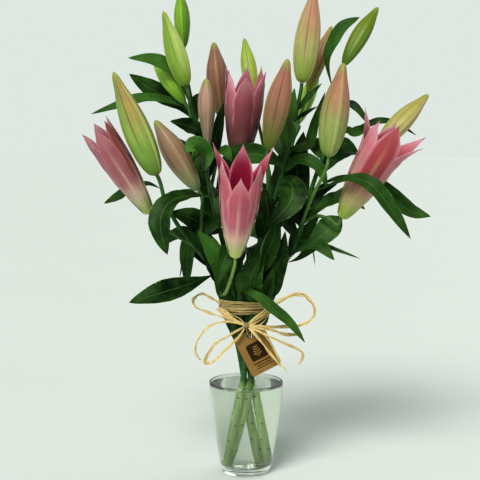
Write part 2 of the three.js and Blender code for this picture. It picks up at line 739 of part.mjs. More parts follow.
function isClear(solid, others) {
  const box = solid.boundingBox();
  return others.every(other => {
    const far = [0, 1, 2].some(axis => other.box.min[axis] > box.max[axis] + leafGap
      || other.box.max[axis] < box.min[axis] - leafGap);
    return far || solid.minGap(other.solid, leafGap) >= leafGap;
  });
}

// Leaves of all stems, each one turned until it is clear of every other piece, or left off.
// Leaves with neighbouring roots may touch there, as they grow from the same stem.
function clearLeaves(woods, obstacles) {
  const boxed = (solid, stem, root) => ({ solid, stem, root, box: solid.boundingBox() });
  const taken = [...obstacles.map(solid => boxed(solid)), ...woods.map((solid, i) => boxed(solid, i))];
  const grown = stems.map(() => []);
  const grow = (shape, stem, number) => {
    const root = atHeight(stem, shape.height);
    const isNeighbour = other => other.stem === number
      && (!other.root || other.root.distanceTo(root) < rootRoom);
    const others = taken.filter(other => !isNeighbour(other));
    const nudge = nudges.find(choice => isClear(leaf(stem, shape, choice), others));
    if (nudge) {
      const blade = leaf(stem, shape, nudge);
      grown[number].push(blade);
      taken.push(boxed(blade, number, root));
    }
  };
  stems.forEach((stem, number) => stem.leaves.forEach(shape => grow(shape, stem, number)));
  stems.forEach((stem, number) => rowOfLeaves(stem).forEach(shape => grow(shape, stem, number)));
  return grown;
}

// Wrap of several turns, an oval ring with one ridge to each turn
function raffiaWrap() {
  const turnHeight = wrapHeight / wrapTurns;
  const outline = [[wrapHalfWidth, wrapHeight], [wrapHalfWidth, 0]];
  for (let turn = 0; turn < wrapTurns; turn++) {
    outline.push([wrapHalfWidth + ridgeFoot, turn * turnHeight]);
    outline.push([wrapHalfWidth + ridgeTop, (turn + 0.5) * turnHeight]);
  }
  outline.push([wrapHalfWidth + ridgeFoot, wrapHeight], outline[0]);
  const ring = turned(outline, roundSides);
  return toSolid(ring.scale(1, wrapHalfDepth / wrapHalfWidth, 1).translate(0, 0, wrapLow));
}

function raffiaStrand({ width, path }) {
  const steps = Math.ceil(strandStepsPerPoint * (path.length - 1));
  return toSolid(strip(path, strandFace, steps, () => width / 2, strandThickness, 0, 0, true));
}

// Loop through the hole of the tag and back up to the knot
function tagLoop() {
  const hole = vector([0, tagHoleRise, 0]).applyMatrix4(tagPlace());
  const front = [hole.x - 0.5, hole.y - 3, hole.z - 2];
  const behind = [hole.x, hole.y + 2.6, hole.z + 1.5];
  const path = [knot, [1, knot[1] - 2, 178], front, hole.toArray(), behind, [1.5, hole.y + 1.2, 181], knot];
  return toSolid(strip(path, [-1, 0, 0.1], 10, () => loopWidth / 2, strandThickness, 0, 0, true));
}

function raffiaTie() {
  const knotLump = new THREE.SphereGeometry(1, 10, 7).scale(...knotRadii).translate(...knot);
  return join([raffiaWrap(), toSolid(knotLump), ...strands.map(raffiaStrand), tagLoop()]);
}

function tagPlace() {
  const turn = new THREE.Euler(Math.PI / 2 - tagLean, 0, 0);
  return new THREE.Matrix4().makeRotationFromEuler(turn)
    .multiply(new THREE.Matrix4().makeRotationZ(-tagTurn))
    .setPosition(vector(tagMiddle));
}

// Card with rounded corners and a round hole near its upper edge
function kraftTag() {
  const x = tagWidth / 2;
  const y = tagHeight / 2;
  const outline = new THREE.Shape();
  outline.moveTo(-x + tagCorner, -y);
  outline.lineTo(x - tagCorner, -y);
  outline.quadraticCurveTo(x, -y, x, -y + tagCorner);
  outline.lineTo(x, y - tagCorner);
  outline.quadraticCurveTo(x, y, x - tagCorner, y);
  outline.lineTo(-x + tagCorner, y);
  outline.quadraticCurveTo(-x, y, -x, y - tagCorner);
  outline.lineTo(-x, -y + tagCorner);
  outline.quadraticCurveTo(-x, -y, -x + tagCorner, -y);
  const hole = new THREE.Path().absarc(0, tagHoleRise, tagHole, 0, 2 * Math.PI, true);
  outline.holes.push(hole);
  const settings = { depth: tagThickness, bevelEnabled: false, curveSegments: 4 };
  const card = new THREE.ExtrudeGeometry(outline, settings);
  return card.translate(0, 0, -tagThickness / 2).applyMatrix4(tagPlace());
}

const material = (color, roughness, more = {}) => new THREE.MeshStandardMaterial({
  color, roughness, metalness: 0, ...more,
});
const glass = material(0xe9f1ec, 0.05, { transparent: true, opacity: 0.35 });
const clearWater = material(0xdfeae6, 0.02, { transparent: true, opacity: 0.35 });
const foliage = material(0x2f4a26, 0.5);
const pollen = material(0xb9b35a, 0.7);
const straw = material(0xcdb07a, 0.8);
const kraft = material(0xa98a63, 0.9);

const lilies = new THREE.Group();

function add(name, geometry, finish) {
  const mesh = new THREE.Mesh(geometry, finish);
  mesh.name = name;
  lilies.add(mesh);
}

const budSolids = buds.map(bud);
const bloomSolids = blooms.map(bloom);
const tie = raffiaTie();
const tag = kraftTag();
const woods = stems.map(stemWood);
const leaves = clearLeaves(woods, [...budSolids, ...bloomSolids, tie, toSolid(tag)]);
const water = stems.reduce((body, stem) => body.subtract(stemHole(stem)), waterBody());

add('vase', glassVase(), glass);
add('water', toGeometry(oneBody(water)), clearWater);
stems.forEach((_, i) => add(`leafy_stem_${i + 1}`, toGeometry(join([woods[i], ...leaves[i]])), foliage));
budSolids.forEach((solid, i) => {
  const name = `bud_${String(i + 1).padStart(2, '0')}`;
  add(name, toGeometry(solid), material(buds[i].color, 0.5));
});
blooms.forEach((flower, i) => {
  add(`bloom_${i + 1}`, toGeometry(bloomSolids[i]), material(flower.color, 0.55));
  add(`stamens_${i + 1}`, toGeometry(stamens(flower)), pollen);
});
add('raffia_tie', toGeometry(tie), straw);
add('kraft_tag', tag, kraft);

export default lilies;
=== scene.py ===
"""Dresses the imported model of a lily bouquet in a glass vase.

Metres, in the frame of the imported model: +Z up, -Y towards the viewer. The named places below
are in millimetres, as in the part's source.
"""
import json
import math
import random

import bmesh
import bpy
from bpy.props import FloatProperty, FloatVectorProperty, IntProperty, PointerProperty
from mathutils import Matrix, Vector
from mathutils.kdtree import KDTree


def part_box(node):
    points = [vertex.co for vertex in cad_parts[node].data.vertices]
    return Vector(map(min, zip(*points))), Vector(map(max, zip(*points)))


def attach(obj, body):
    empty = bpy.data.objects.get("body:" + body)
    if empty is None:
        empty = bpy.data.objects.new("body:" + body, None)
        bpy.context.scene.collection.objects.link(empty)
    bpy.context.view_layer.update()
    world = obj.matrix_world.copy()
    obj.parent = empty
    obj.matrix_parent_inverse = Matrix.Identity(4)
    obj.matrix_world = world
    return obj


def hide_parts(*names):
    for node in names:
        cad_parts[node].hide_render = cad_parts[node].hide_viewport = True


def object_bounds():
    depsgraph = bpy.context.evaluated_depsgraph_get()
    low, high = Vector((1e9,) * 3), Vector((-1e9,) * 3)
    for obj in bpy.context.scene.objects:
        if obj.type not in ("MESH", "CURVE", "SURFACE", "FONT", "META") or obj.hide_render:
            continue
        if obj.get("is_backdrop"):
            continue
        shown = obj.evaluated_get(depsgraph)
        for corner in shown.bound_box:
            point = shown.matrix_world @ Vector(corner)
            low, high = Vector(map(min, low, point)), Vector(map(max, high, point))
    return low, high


bl_info = {
    "name": "Lilies in a Vase",
    "version": (1, 0, 0),
    "blender": (4, 5, 0),
    "location": "3D View > Sidebar > Lilies",
    "description": "Builds a tied bouquet of lilies in a glass vase over its packed frame",
    "category": "Add Mesh",
}

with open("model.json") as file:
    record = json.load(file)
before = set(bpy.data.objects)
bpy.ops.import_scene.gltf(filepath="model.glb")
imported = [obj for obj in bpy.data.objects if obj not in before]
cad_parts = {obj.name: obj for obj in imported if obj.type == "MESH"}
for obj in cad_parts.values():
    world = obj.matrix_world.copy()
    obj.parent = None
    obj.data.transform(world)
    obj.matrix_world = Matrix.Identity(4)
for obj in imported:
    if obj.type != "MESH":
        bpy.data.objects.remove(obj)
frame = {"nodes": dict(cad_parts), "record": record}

MM = 0.001
TURN = 2 * math.pi
UP = Vector((0, 0, 1))
FRONT = Vector((0, -1, 0))

# Merged when nearer than this, in mm, and the angle from which an edge stays sharp
MERGE = 1e-3
SHARP_EDGE = math.radians(50)

# Stems, as in the solid: the line from the cut end to the flower head, the stalks that leave it,
# the leaves (height of the root, width, upper face, share of the length where it is widest, how
# light it is, line) and the row of leaves (lowest and highest root, number, turn of the first)
STEMS = [
    {
        "path": [
            (11, 14, 11), (4, 9.5, 64), (-3, 4.6, 118), (-12, 3, 165), (-27, -2, 215),
            (-39, -8, 249), (-52, -12, 267), (-67, -18, 285), (-82, -32, 308), (-94, -41, 334),
        ],
        "head": "bud_01",
        "stalks": [
            ("bloom_1", [(-63, -16, 280), (-84, -24, 293)]),
            ("bud_14", [(-47, -11, 262), (-53, -17, 290), (-53, -14, 320)]),
            ("bloom_2", [(-29, -3, 218), (-24, -20, 224), (-19, -40, 240)]),
        ],
        "leaves": [
            (244, 28, (0.1, -0.85, 0.5), 0.64, 0, [
                (-58, -24, 238), (-78, -33, 232), (-103, -45, 226), (-136, -55, 217),
            ]),
            (348, 14, (0, -0.8, 0.6), 0.6, 0.8, [
                (-117, -22, 353), (-138, 0, 346), (-156, 8, 336), (-172, 8, 328),
            ]),
            (262, 20, (-0.2, -0.95, 0.2), 0.45, 0.7, [
                (-58, -8, 278), (-67, -4, 283), (-71, -2, 266), (-71, -4, 246), (-72, -8, 220),
            ]),
            (222, 27, (0.3, -0.9, 0.3), 0.42, 1.2, [
                (-29, -30, 254), (-41, -38, 278), (-57, -42, 300),
            ]),
        ],
        "row": (224, 281, 5, 0.6),
    },
    {
        "path": [
            (20, 4, 11), (13, 4.3, 64), (6, 4.6, 118), (0, 11, 165), (-10, 16.4, 215),
            (-22, 20, 256), (-34, 26, 301), (-45, 24, 350), (-54, 20, 393), (-61, 17, 430),
            (-70, 25, 470),
        ],
        "head": "bud_03",
        "stalks": [
            ("bud_02", [(-59, 18, 420), (-66, 5, 440)]),
            ("bud_04", [(-62, 18, 425), (-67, 14, 436)]),
            ("bud_05", [(-43, 24, 345), (-36, 35, 380)]),
            ("bud_06", [(-43, 25, 340), (-47, 14, 362)]),
            ("bloom_3", [(-30, 24, 289), (-17, 10, 328)]),
        ],
        "leaves": [
            (366, 28, (-0.1, -0.95, 0.3), 0.55, 1.2, [
                (-57, 4, 374), (-58, -25, 387), (-69, -38, 398), (-81, -42, 390),
            ]),
            (292, 28, (0, -0.9, 0.4), 0.5, 0, [(-50, 0, 302), (-67, -6, 312), (-91, -10, 319)]),
            (423, 16, (0, -0.75, 0.65), 0.6, 0.9, [
                (-76, 22, 446), (-104, 18, 454), (-127, 10, 454), (-155, 4, 445),
                (-185, -2, 435),
            ]),
            (426, 25, (0, -0.9, 0.4), 0.55, 0.4, [
                (-80, 38, 447), (-102, 42, 459), (-123, 40, 471), (-143, 36, 485),
            ]),
            (431, 17, (-0.1, -0.95, 0.3), 0.65, 1.2, [
                (-66, 12, 449), (-79, 8, 480), (-94, 4, 493), (-113, 0, 500), (-140, -4, 501),
            ]),
            (423, 12, (0, -0.8, 0.5), 0.4, 0.9, [(-62, 20, 448), (-54, 22, 457), (-40, 24, 456)]),
            (374, 25, (0, -0.8, 0.6), 0.5, 0, [(-56, 14, 411), (-70, 5, 421), (-91, 0, 427)]),
            (356, 16, (0.4, -0.9, 0), 0.4, 0.3, [(-40, 18, 393), (-33, 16, 426), (-27, 20, 450)]),
            (216, 26, (0, -1, 0.1), 0.3, 0.7, [(-16, 6, 244), (-14, -6, 272), (-24, -16, 300)]),
            (325, 26, (0, -0.95, 0.3), 0.6, 0.5, [
                (-29, 0, 360), (-17, -14, 382), (4, -17, 388), (24, -14, 385), (44, -12, 374),
            ]),
            (342, 30, (-0.25, -0.6, 0.75), 0.62, 0.3, [
                (-45, -10, 337), (-55, -32, 341), (-71, -45, 340), (-88, -55, 333),
                (-98, -62, 315), (-96, -66, 294), (-90, -68, 274),
            ]),
        ],
        "row": (240, 400, 10, 0.2),
    },
    {
        "path": [
            (-20, -8, 11), (-11.5, -6.3, 64), (-3, -4.6, 118), (2, -8.5, 165), (8, -16.4, 215),
            (9, -8, 255), (21, -2, 297), (37, 0, 345), (50, 2, 393), (58, 3, 428),
        ],
        "head": "bud_09",
        "stalks": [
            ("bud_08", [(22, -2, 300), (25, -14, 335), (25, -26, 365)]),
            ("bud_07", [(31, -1, 325), (29, 18, 360), (20, 42, 405)]),
            ("bud_10", [(51, 2, 398), (62, 18, 425)]),
            ("bud_15", [(39, 0, 351), (52, 24, 384)]),
        ],
        "leaves": [
            (359, 34, (0.1, -0.95, 0.2), 0.5, 0.3, [
                (52, -20, 353), (54, -34, 342), (46, -40, 326), (23, -42, 303),
            ]),
            (285, 28, (-0.1, -0.95, 0.2), 0.4, 0.3, [(26, -18, 316), (20, -24, 350)]),
            (440, 9, (0, -0.8, 0.6), 0.4, 0.5, [(73, -8, 454), (89, -12, 471)]),
            (428, 6, (0, -0.8, 0.6), 0.4, 0.4, [(72, 8, 437), (86, 12, 445)]),
            (393, 13, (-0.3, -0.9, 0.2), 0.4, 0.6, [(74, 6, 399), (83, 2, 428), (94, -2, 462)]),
            (222, 15, (0.3, -0.8, 0.5), 0.62, 0.9, [
                (1, -40, 228), (14, -48, 223), (31, -50, 209), (51, -49, 192), (69, -46, 168),
            ]),
            (226, 34, (-0.2, -0.95, 0.2), 0.35, 0.6, [
                (4, -32, 236), (10, -40, 255), (22, -40, 278),
            ]),
            (242, 24, (-0.3, -0.9, 0.1), 0.4, 0.6, [
                (21, -26, 264), (33, -30, 292), (35, -30, 322),
            ]),
            (393, 15, (-0.1, -0.95, 0.2), 0.5, 1.2, [(50, -6, 415), (54, -8, 440), (57, -6, 466)]),
        ],
        "row": (224, 400, 11, 0.9),
    },
    {
        "path": [
            (-15, 8, 11.3), (-4.5, 1.7, 64), (6, -4.6, 118), (16, -3, 165), (28, 0, 215),
            (37, 4, 242), (56, 6, 272), (70, 4, 312), (80, 2, 351), (95, 5, 393), (105, 9, 435),
            (112, 12, 468),
        ],
        "head": "bud_11",
        "stalks": [
            ("bud_12", [(66, 5, 302), (77, -18, 335), (88, -40, 362)]),
            ("bloom_4", [(67, 4, 304), (82, -6, 314), (97, -18, 312)]),
            ("bud_13", [(73, 4, 320), (92, 8, 332), (126, 14, 352)]),
        ],
        "leaves": [
            (340, 21, (0.2, -0.85, 0.5), 0.66, 0.7, [
                (98, -30, 352), (120, -62, 361), (141, -80, 353), (161, -84, 328),
                (185, -80, 293),
            ]),
            (345, 23, (0.1, -0.85, 0.5), 0.64, 0.8, [
                (113, 6, 359), (154, -2, 352), (175, -8, 336), (196, -12, 320), (219, -16, 314),
            ]),
            (284, 11, (0, -0.5, 0.9), 0.4, 0.8, [(94, 0, 277), (137, -10, 263)]),
            (216, 26, (-0.1, -0.95, 0.1), 0.3, 0.1, [
                (33, -12, 242), (42, -22, 268), (46, -26, 298),
            ]),
            (255, 30, (-0.2, -0.9, 0.3), 0.72, 0.8, [
                (65, -8, 265), (86, -12, 286), (100, -8, 300), (114, -4, 313),
            ]),
            (265, 20, (-0.4, -0.8, 0.4), 0.4, 1.2, [(70, 19, 288), (91, 28, 314)]),
            (323, 18, (0, -0.7, 0.7), 0.4, 0, [(87, 12, 340), (112, 18, 353)]),
            (432, 12, (0.2, -0.8, 0.5), 0.5, 0, [(120, 0, 447), (132, -8, 440), (144, -12, 423)]),
            (405, 13, (0, -0.9, 0.3), 0.66, 1, [
                (119, 8, 418), (127, 6, 414), (136, 4, 416), (149, 3, 424),
            ]),
            (393, 15, (0, -0.9, 0.4), 0.5, 0.7, [(115, 2, 401), (134, -3, 389)]),
            (448, 16, (-0.3, -0.95, 0.2), 0.74, 1, [
                (104, 26, 470), (99, 28, 492), (99, 28, 508), (106, 28, 524), (117, 27, 541),
                (137, 25, 552),
            ]),
            (299, 32, (0, -1, 0.1), 0.5, 0, [(62, 9, 332), (66, 11, 372), (80, 17, 415)]),
            (410, 10, (0, -0.8, 0.6), 0.5, 0.4, [
                (137, 30, 418), (164, 50, 428), (188, 56, 425), (213, 54, 410),
            ]),
        ],
        "row": (228, 420, 11, 0.4),
    },
]

# Stems and stalks: gap under a head, straight neck below it, radii at foot and top, how far a
# stalk's green goes from the stem's to the pale one of a stalk, and the shallow ridges of the skin:
# height as a share of the radius, number and turn in radians from foot to top
GAP = 0.3
NECK = 10
STEM_RADII = (4.1, 2.2)
STALK_RADII = (2.3, 1.9)
STALK_TONES = (0.1, 0.35)
PALE_STALKS = {"bloom_2": 0.9, "bud_12": 0.55}
RIDGE_RISE = 0.02
RIDGES = 5
RIDGE_TURN = 9
GOLDEN_ANGLE = math.radians(137.5)

# Scars of stripped leaves: distance of the first from the cut end, step, number, rise as a share
# of the radius, length along the stem, spread round it in radians, and how near one is felt
SCAR_START = 6
SCAR_STEP = 6.6
SCARS = 27
SCAR_RISE = 0.14
SCAR_LENGTH = 1.1
SCAR_SPREAD = 0.42
SCAR_ROOM = 5

# Leaf blades, all as shares of the half width: fold at the midrib, pillow of each half, ripple of
# the blade and flutter of its margins, with the number of waves from root to tip
LEAF_FOLD = 0.22
LEAF_PILLOW = 0.12
LEAF_WAVE = 0.05
LEAF_RIPPLES = 2.5
LEAF_FLUTTER = 0.035
LEAF_FLUTTERS = 7
LEAF_WIDEST = 0.4
LEAF_FULLNESS = 0.85
# Thickness of a blade at its tip and what its root has more, and the faces round it and along it
LEAF_BODY = (0.5, 0.9)
LEAF_GRID = (20, 28)

# Rows of plain leaves: the lowest one, how it changes up the stem, and the ways a leaf bends, as
# places (out from the stem, up) in shares of its length
ROW_LENGTH = 88
ROW_WIDTH = 26
ROW_ROLL = 0.8
ROW_SHORTENING = 0.3
ROW_NARROWING = 0.25
ROW_HABITS = (
    ((0.2, 0.32), (0.4, 0.66), (0.62, 0.88)),
    ((0.34, 0.3), (0.7, 0.4), (0.98, 0.22)),
    ((0.32, 0.24), (0.66, 0.12), (0.84, -0.26)),
)

# Leaves bound in by the raffia: degrees round the neck, half axes and heights along a leaf, and
# the ranges of the rise of its tip and of its width
NECK_LEAVES = (228, 250, 270, 318, 340, 25, 60, 88, 140, 165)
NECK_LINE = ((13, 9, 156), (22, 14, 182), (26, 16.5, 206), (34, 24, 232), (44, 32, 262))
NECK_RISES = (-10, 14)
NECK_WIDTHS = (19, 25)
NECK_WIDEST = 0.62

# Turns in degrees and lifts that the solid's leaves were tried with, in this order, and how near
# a leaf's end counts as the same
NUDGES = (
    (0, 0), (0, 0.12), (0, -0.12), (8, 0), (-8, 0), (8, 0.12), (-8, 0.12), (16, 0), (-16, 0),
    (24, 0.1), (-24, 0.1), (24, -0.1), (-24, -0.1), (36, 0), (-36, 0), (50, 0.1), (-50, 0.1),
)
SAME_POINT = 0.05

# Buds: foot, tip, girth, share of the length where it is widest
BUDS = {
    "bud_01": ((-103, -45, 364), (-150, -62, 481), 30, 0.4),
    "bud_02": ((-71, -10, 468), (-96, -25, 553), 23, 0.4),
    "bud_03": ((-76, 35, 517), (-81, 55, 589), 18, 0.5),
    "bud_04": ((-74, 15, 449), (-115, 30, 509), 18, 0.5),
    "bud_05": ((-30, 40, 432), (-40, 60, 526), 26, 0.5),
    "bud_06": ((-46, 0, 388), (-47, -10, 477), 20, 0.66),
    "bud_07": ((10, 60, 454), (-2, 95, 534), 18, 0.5),
    "bud_08": ((25, -30, 393), (47, -55, 496), 27, 0.5),
    "bud_09": ((66, 0, 472), (80, -10, 583), 28, 0.42),
    "bud_10": ((76, 35, 463), (106, 55, 545), 17, 0.5),
    "bud_11": ((117, 15, 494), (161, 40, 566), 20, 0.5),
    "bud_12": ((94, -50, 385), (109, -65, 491), 31, 0.42),
    "bud_13": ((159, 20, 394), (226, 50, 461), 24, 0.46),
    "bud_14": ((-57, -12, 345), (-108, -10, 428), 28, 0.5),
    "bud_15": ((65, 40, 426), (92, 70, 497), 17, 0.5),
}
# Radius of a bud's foot and how soon it is lost in the neck, and how far the three tepals bulge
BUD_FOOT = 2.4
BUD_FOOT_TAPER = 12
BUD_NECK = 1.2
BUD_LOBE = 0.08
# How broad a rib and a seam are, and the shares of the length over which they begin and end
BUD_RIB_WIDTH = 0.05
BUD_SEAM_WIDTH = 0.02
BUD_RELIEF_ENDS = (0.2, 0.06)
# Fullness of a bud at its foot, on its shoulder and at its tip
BUD_FULLNESS = (0.55, 0.95, 0.6)
BUD_SHOULDER = 0.8
# Finish of each bud: colours of foot, middle, top, rib and seam, then the colour, direction in
# degrees from the front and lowest share of its blush, and the turn of the ribs from the front. On
# buds turning pink or tan the blush is their own colour; on green buds the paler green is a painted
# highlight on the side the light falls on
BUD_LOOKS = {
    "bud_01": ("6a8c34", "8aa850", "7a8c48", "bcc884", "6a4c2c", "a88e54", 55, 0.25, 40),
    "bud_02": ("7c9a34", "82a440", "789438", "b8c26c", "64802c", "b0c06c", 75, 0.0, 52),
    "bud_03": ("44700e", "5c8a18", "60881c", "80a432", "40660e", "78a22c", -60, 0.0, 0),
    "bud_04": ("649428", "80b22c", "72a828", "9abc50", "48761a", "98c048", -20, 0.0, 20),
    "bud_05": ("6a643c", "825646", "88664e", "8a784c", "5a3c2e", "926454", 40, 0.3, 0),
    "bud_06": ("80926a", "a08a78", "a07c6a", "ac9672", "705a4c", "ae8e7c", -10, 0.35, 10),
    "bud_07": ("6e8a2e", "7e982e", "86a02c", "acb262", "5a7622", "98aa46", 20, 0.0, 60),
    "bud_08": ("647e2c", "8a6e4c", "927054", "aa8e64", "6c3c2e", "a26c5e", 20, 0.35, 55),
    "bud_09": ("96b04e", "a8a468", "aa8a68", "c0a880", "8c5a44", "b27a64", 55, 0.35, 50),
    "bud_10": ("748426", "7e6238", "9e8454", "9c9846", "584220", "926e40", 60, 0.2, 30),
    "bud_11": ("486a0c", "4c6e0e", "507010", "7e8e2c", "38580a", "728222", -70, 0.0, 25),
    "bud_12": ("8aa452", "94a060", "a27e5e", "aaac74", "8c5c44", "ae7460", 40, 0.3, 8),
    "bud_13": ("a8a26a", "aea664", "a29c58", "bcb896", "947236", "a87e3e", 110, 0.1, 20),
    "bud_14": ("8aa06a", "987c62", "a67a66", "a2906e", "6a543e", "9e846a", 10, 0.3, 10),
    "bud_15": ("78a238", "84b03c", "7eaa3a", "b0ca6a", "5a842c", "9cbe54", -60, 0.0, 15),
}

# Opening flowers: foot, middle of the tips, body radius, and for each tepal, counted from the one
# in front, how far its tip stands off the axis, how much of the length it reaches and how much it
# is flushed. Fullness is that of a tepal at its foot and at its tip. Colours run from the foot to
# the tip, and the last one is the flush
BLOOMS = {
    "bloom_1": {
        "foot": (-113, -30, 319), "tip": (-174, -50, 420), "body": 18, "fullness": (0.7, 0.6),
        "tips": (13, 17, 18, 14, 20, 19), "reach": (0.97, 1, 1.02, 1.02, 0.99, 0.97),
        "depth": (0.35, 0.95, 0.8, 0.5, 0.1, 0.0),
        "outside": ("9cb05a", "c4b49a", "ae7074", "a46470", "ba8288", "80403c"),
        "inside": ("c0b080", "a85c6e", "a05060", "ac5a68", "d8acb0", "843440"),
    },
    "bloom_2": {
        "foot": (-13, -62, 270), "tip": (-4, -85, 393), "body": 24, "fullness": (0.7, 1.0),
        "tips": (24, 27, 38, 22, 38, 29), "reach": (0.8, 0.92, 1.02, 1.04, 1.02, 0.94),
        "depth": (0.25, 0.1, 0.6, 0.9, 0.6, 0.1),
        "outside": ("b3c870", "ceb09c", "b46a78", "b45e6c", "d4a0a2", "a03a4c"),
        "inside": ("bda980", "a02c50", "98204a", "ac3456", "d88c9c", "8c1038"),
    },
    "bloom_3": {
        "foot": (-9, 0, 373), "tip": (1, 5, 491), "body": 23, "fullness": (0.7, 0.9),
        "tips": (14, 28, 19, 17, 28, 26), "reach": (0.9, 0.96, 1.03, 1.03, 1.02, 0.94),
        "depth": (0.7, 0.2, 0.0, 0.3, 0.0, 0.0),
        "outside": ("4e5432", "64443a", "724448", "b46a76", "dca6ac", "6c2c34"),
        "inside": ("806850", "7c3040", "842a3c", "a44254", "cc8e98", "78203a"),
    },
    "bloom_4": {
        "foot": (112, -25, 313), "tip": (171, -50, 418), "body": 24, "fullness": (0.6, 0.8),
        "tips": (17, 44, 40, 22, 46, 26), "reach": (1.05, 0.98, 1.04, 1.02, 1, 1),
        "depth": (0.95, 0.1, 0.15, 0.8, 0.1, 0.1),
        "outside": ("8cac40", "b6a878", "ba8682", "c67884", "dca6b0", "922c32"),
        "inside": ("b8b078", "a86470", "a23848", "b24e5c", "d69ca6", "8c2030"),
    },
}
# Feet and tips of all flower heads
HEADS = {
    **{name: {"foot": bud[0], "tip": bud[1]} for name, bud in BUDS.items()},
    **BLOOMS,
}
# Wall of a flower: radius at its foot, fullness, and the shares of its length where it is widest
# and where the tips begin to flare
FLOWER_FOOT = 4.5
TUBE_FULLNESS = 0.8
WIDEST = 0.75
FLARE_START = 0.6
# Green cup at the foot: height, distances off the wall at foot and top, how much of its radius it
# starts with and how soon it has the rest, and the faces round it and along it
CUP_HEIGHT = 12
CUP_GROWTH = (0.6, -1.2)
CUP_START = (0.55, 3)
CUP_GRID = (40, 14)

# Tepals: distance in or out of the wall, width as a share of the body, how far down they are
# widest, the narrow claw at the foot, where they start and how the margins droop at the tip. For
# outer ones, then inner ones: how much the margins roll in and how high the keel stands
TEPAL_OFFSET = 1
TEPAL_SPREAD = 1.5
TEPAL_LEAN = 1.1
TEPAL_CLAW = 3
TEPAL_ROOT = 0.02
TEPAL_DROOP = 0.025
TEPAL_ROLLS = (1.7, 0.3)
TEPAL_ROLL_WIDTH = 13
TEPAL_KEELS = (0.5, 0.25)
TEPAL_KEEL_WIDTH = 0.13
TEPAL_KEEL_ENDS = (0.15, 0.1)
TEPAL_KEEL_INSIDE = 0.3
TEPAL_RUFFLES = 4.5
# How far round the flower half a tepal may reach, its thickness at the foot and what the tip has
# less, and the faces round it and along it
MOST_SWEEP = math.radians(38)
TEPAL_BODY = (1.15, 0.5)
TEPAL_GRID = (32, 40)

# Inside a flower: the pistil's ovary (radius, length), style and lobes, then the stamens, with
# reaches as shares of the flower's length and their spread as a share of the body
OVARY = (2.5, 6)
STYLE_RADII = (1.2, 1.0)
STYLE_REACH = 0.66
LOBE_RADIUS = 1.3
LOBE_LENGTH = 6
FILAMENT_RADII = (0.8, 0.5)
STAMEN_REACH = 0.6
STAMEN_SPREAD = 0.42
ANTHER_RADIUS = 1.3
ANTHER_LENGTH = 15
ANTHER_START = 0.12
ANTHER_HALVES = (-0.7, 0.7)

# Raffia: half axes, foot and height of the wrap round the stems
WRAP_WIDTH = 31.4
WRAP_DEPTH = 21.4
WRAP_LOW = 199.5
WRAP_HEIGHT = 12
# Ranges of the wrap's strips: distance out, slant, width and painted shade (darker where the leaves
# shade the wrap), how much one drifts, and the points of a turn and of its overlap
WRAP_LAYERS = (0.5, 1.9)
WRAP_SLANTS = (0.6, 2.0)
WRAP_STRIPS = (2.2, 3.8)
WRAP_PAINTED_SHADES = (0.5, 1.05)
WRAP_DRIFT = 0.12
WRAP_POINTS = (20, 3)
# Knot: middle, radius and half length of its core, the tilts, reaches and widths of its strips,
# how much one drifts, and the points of a turn and of its overlap
KNOT = (0, -26, 185)
KNOT_CORE = (3.0, 4.5)
KNOT_TILTS = (-50, -25, -8, 12, 30, 60)
KNOT_REACHES = (3.3, 3.9)
KNOT_STRIPS = (1.8, 3.0)
KNOT_DRIFT = 0.6
KNOT_POINTS = (10, 2)
# Finer strands beside a ribbon: width as a share of it, twist and painted shade, lighter than on
# the wrap. The broad strip's own share, how loose a strand is at the knot, and how much less it
# strays forwards than sideways
STRAND_WIDTHS = (0.35, 0.6)
STRAND_TWIST = 1.1
STRAND_PAINTED_SHADES = (0, 0.35)
BROAD_STRAND = 0.8
KNOT_HOLD = 0.25
STRAND_DEPTH = 0.5
# Ribbons: faces round one, curl and unevenness as shares of the half width, its waves in radians
# per mm, how much thinner the edges are, how wide the ends are and how soon it is full, the way
# they face, and each one's width, strands, how far these part in mm, and line
RIBBON_SIDES = 12
RIBBON_CURL = 0.12
RIBBON_UNEVEN = 0.18
RIBBON_WAVE = 0.21
RIBBON_EDGE = 0.7
RIBBON_ENDS = (0.45, 6)
RIBBON_FACE = Vector((0.15, -1, 0.25))
RIBBONS = (
    (4, 7, 4.5, [(-32.6, -4, 203), (-27.5, -18, 199), (-13, -26, 192), KNOT]),
    (4, 7, 5, [(32.6, -4, 203), (27.5, -18, 198), (13, -26, 191), KNOT]),
    (3, 3, 2.4, [
        KNOT, (-22, -29, 193), (-45, -28, 202), (-60, -26, 207), (-62, -22, 216),
        (-54, -18, 222), (-43, -14, 218), (-31, -12, 209),
    ]),
    (2.8, 3, 2.4, [
        KNOT, (-22, -31, 191), (-43, -33, 186), (-56, -33, 171), (-60, -31, 156),
        (-54, -29, 143),
    ]),
    (3.9, 3, 2.2, [
        KNOT, (-17, -31, 176), (-36, -34, 165), (-46, -33, 152), (-47, -30, 140),
        (-38, -28, 143), (-24, -27, 157), (-8, -26, 173), KNOT,
    ]),
    (4, 4, 2.8, [
        KNOT, (16, -31, 200), (37, -34, 214), (62, -32, 223), (75, -31, 216), (80, -33, 202),
        (71, -34, 190), (52, -33, 184), (23, -30, 185), KNOT,
    ]),
    (4, 4, 3, [KNOT, (23, -34, 182), (47, -36, 177), (67, -34, 175)]),
    (3.6, 3, 2.6, [
        KNOT, (23, -33, 175), (48, -35, 165), (66, -35, 155), (67, -33, 147), (62, -32, 140),
    ]),
    (3, 3, 2.2, [KNOT, (13, -33, 172), (27, -32, 155), (41, -28, 136)]),
    (2.4, 2, 2.2, [KNOT, (19, -32, 177), (33, -32, 158), (40, -29, 142), (49, -28, 130)]),
)

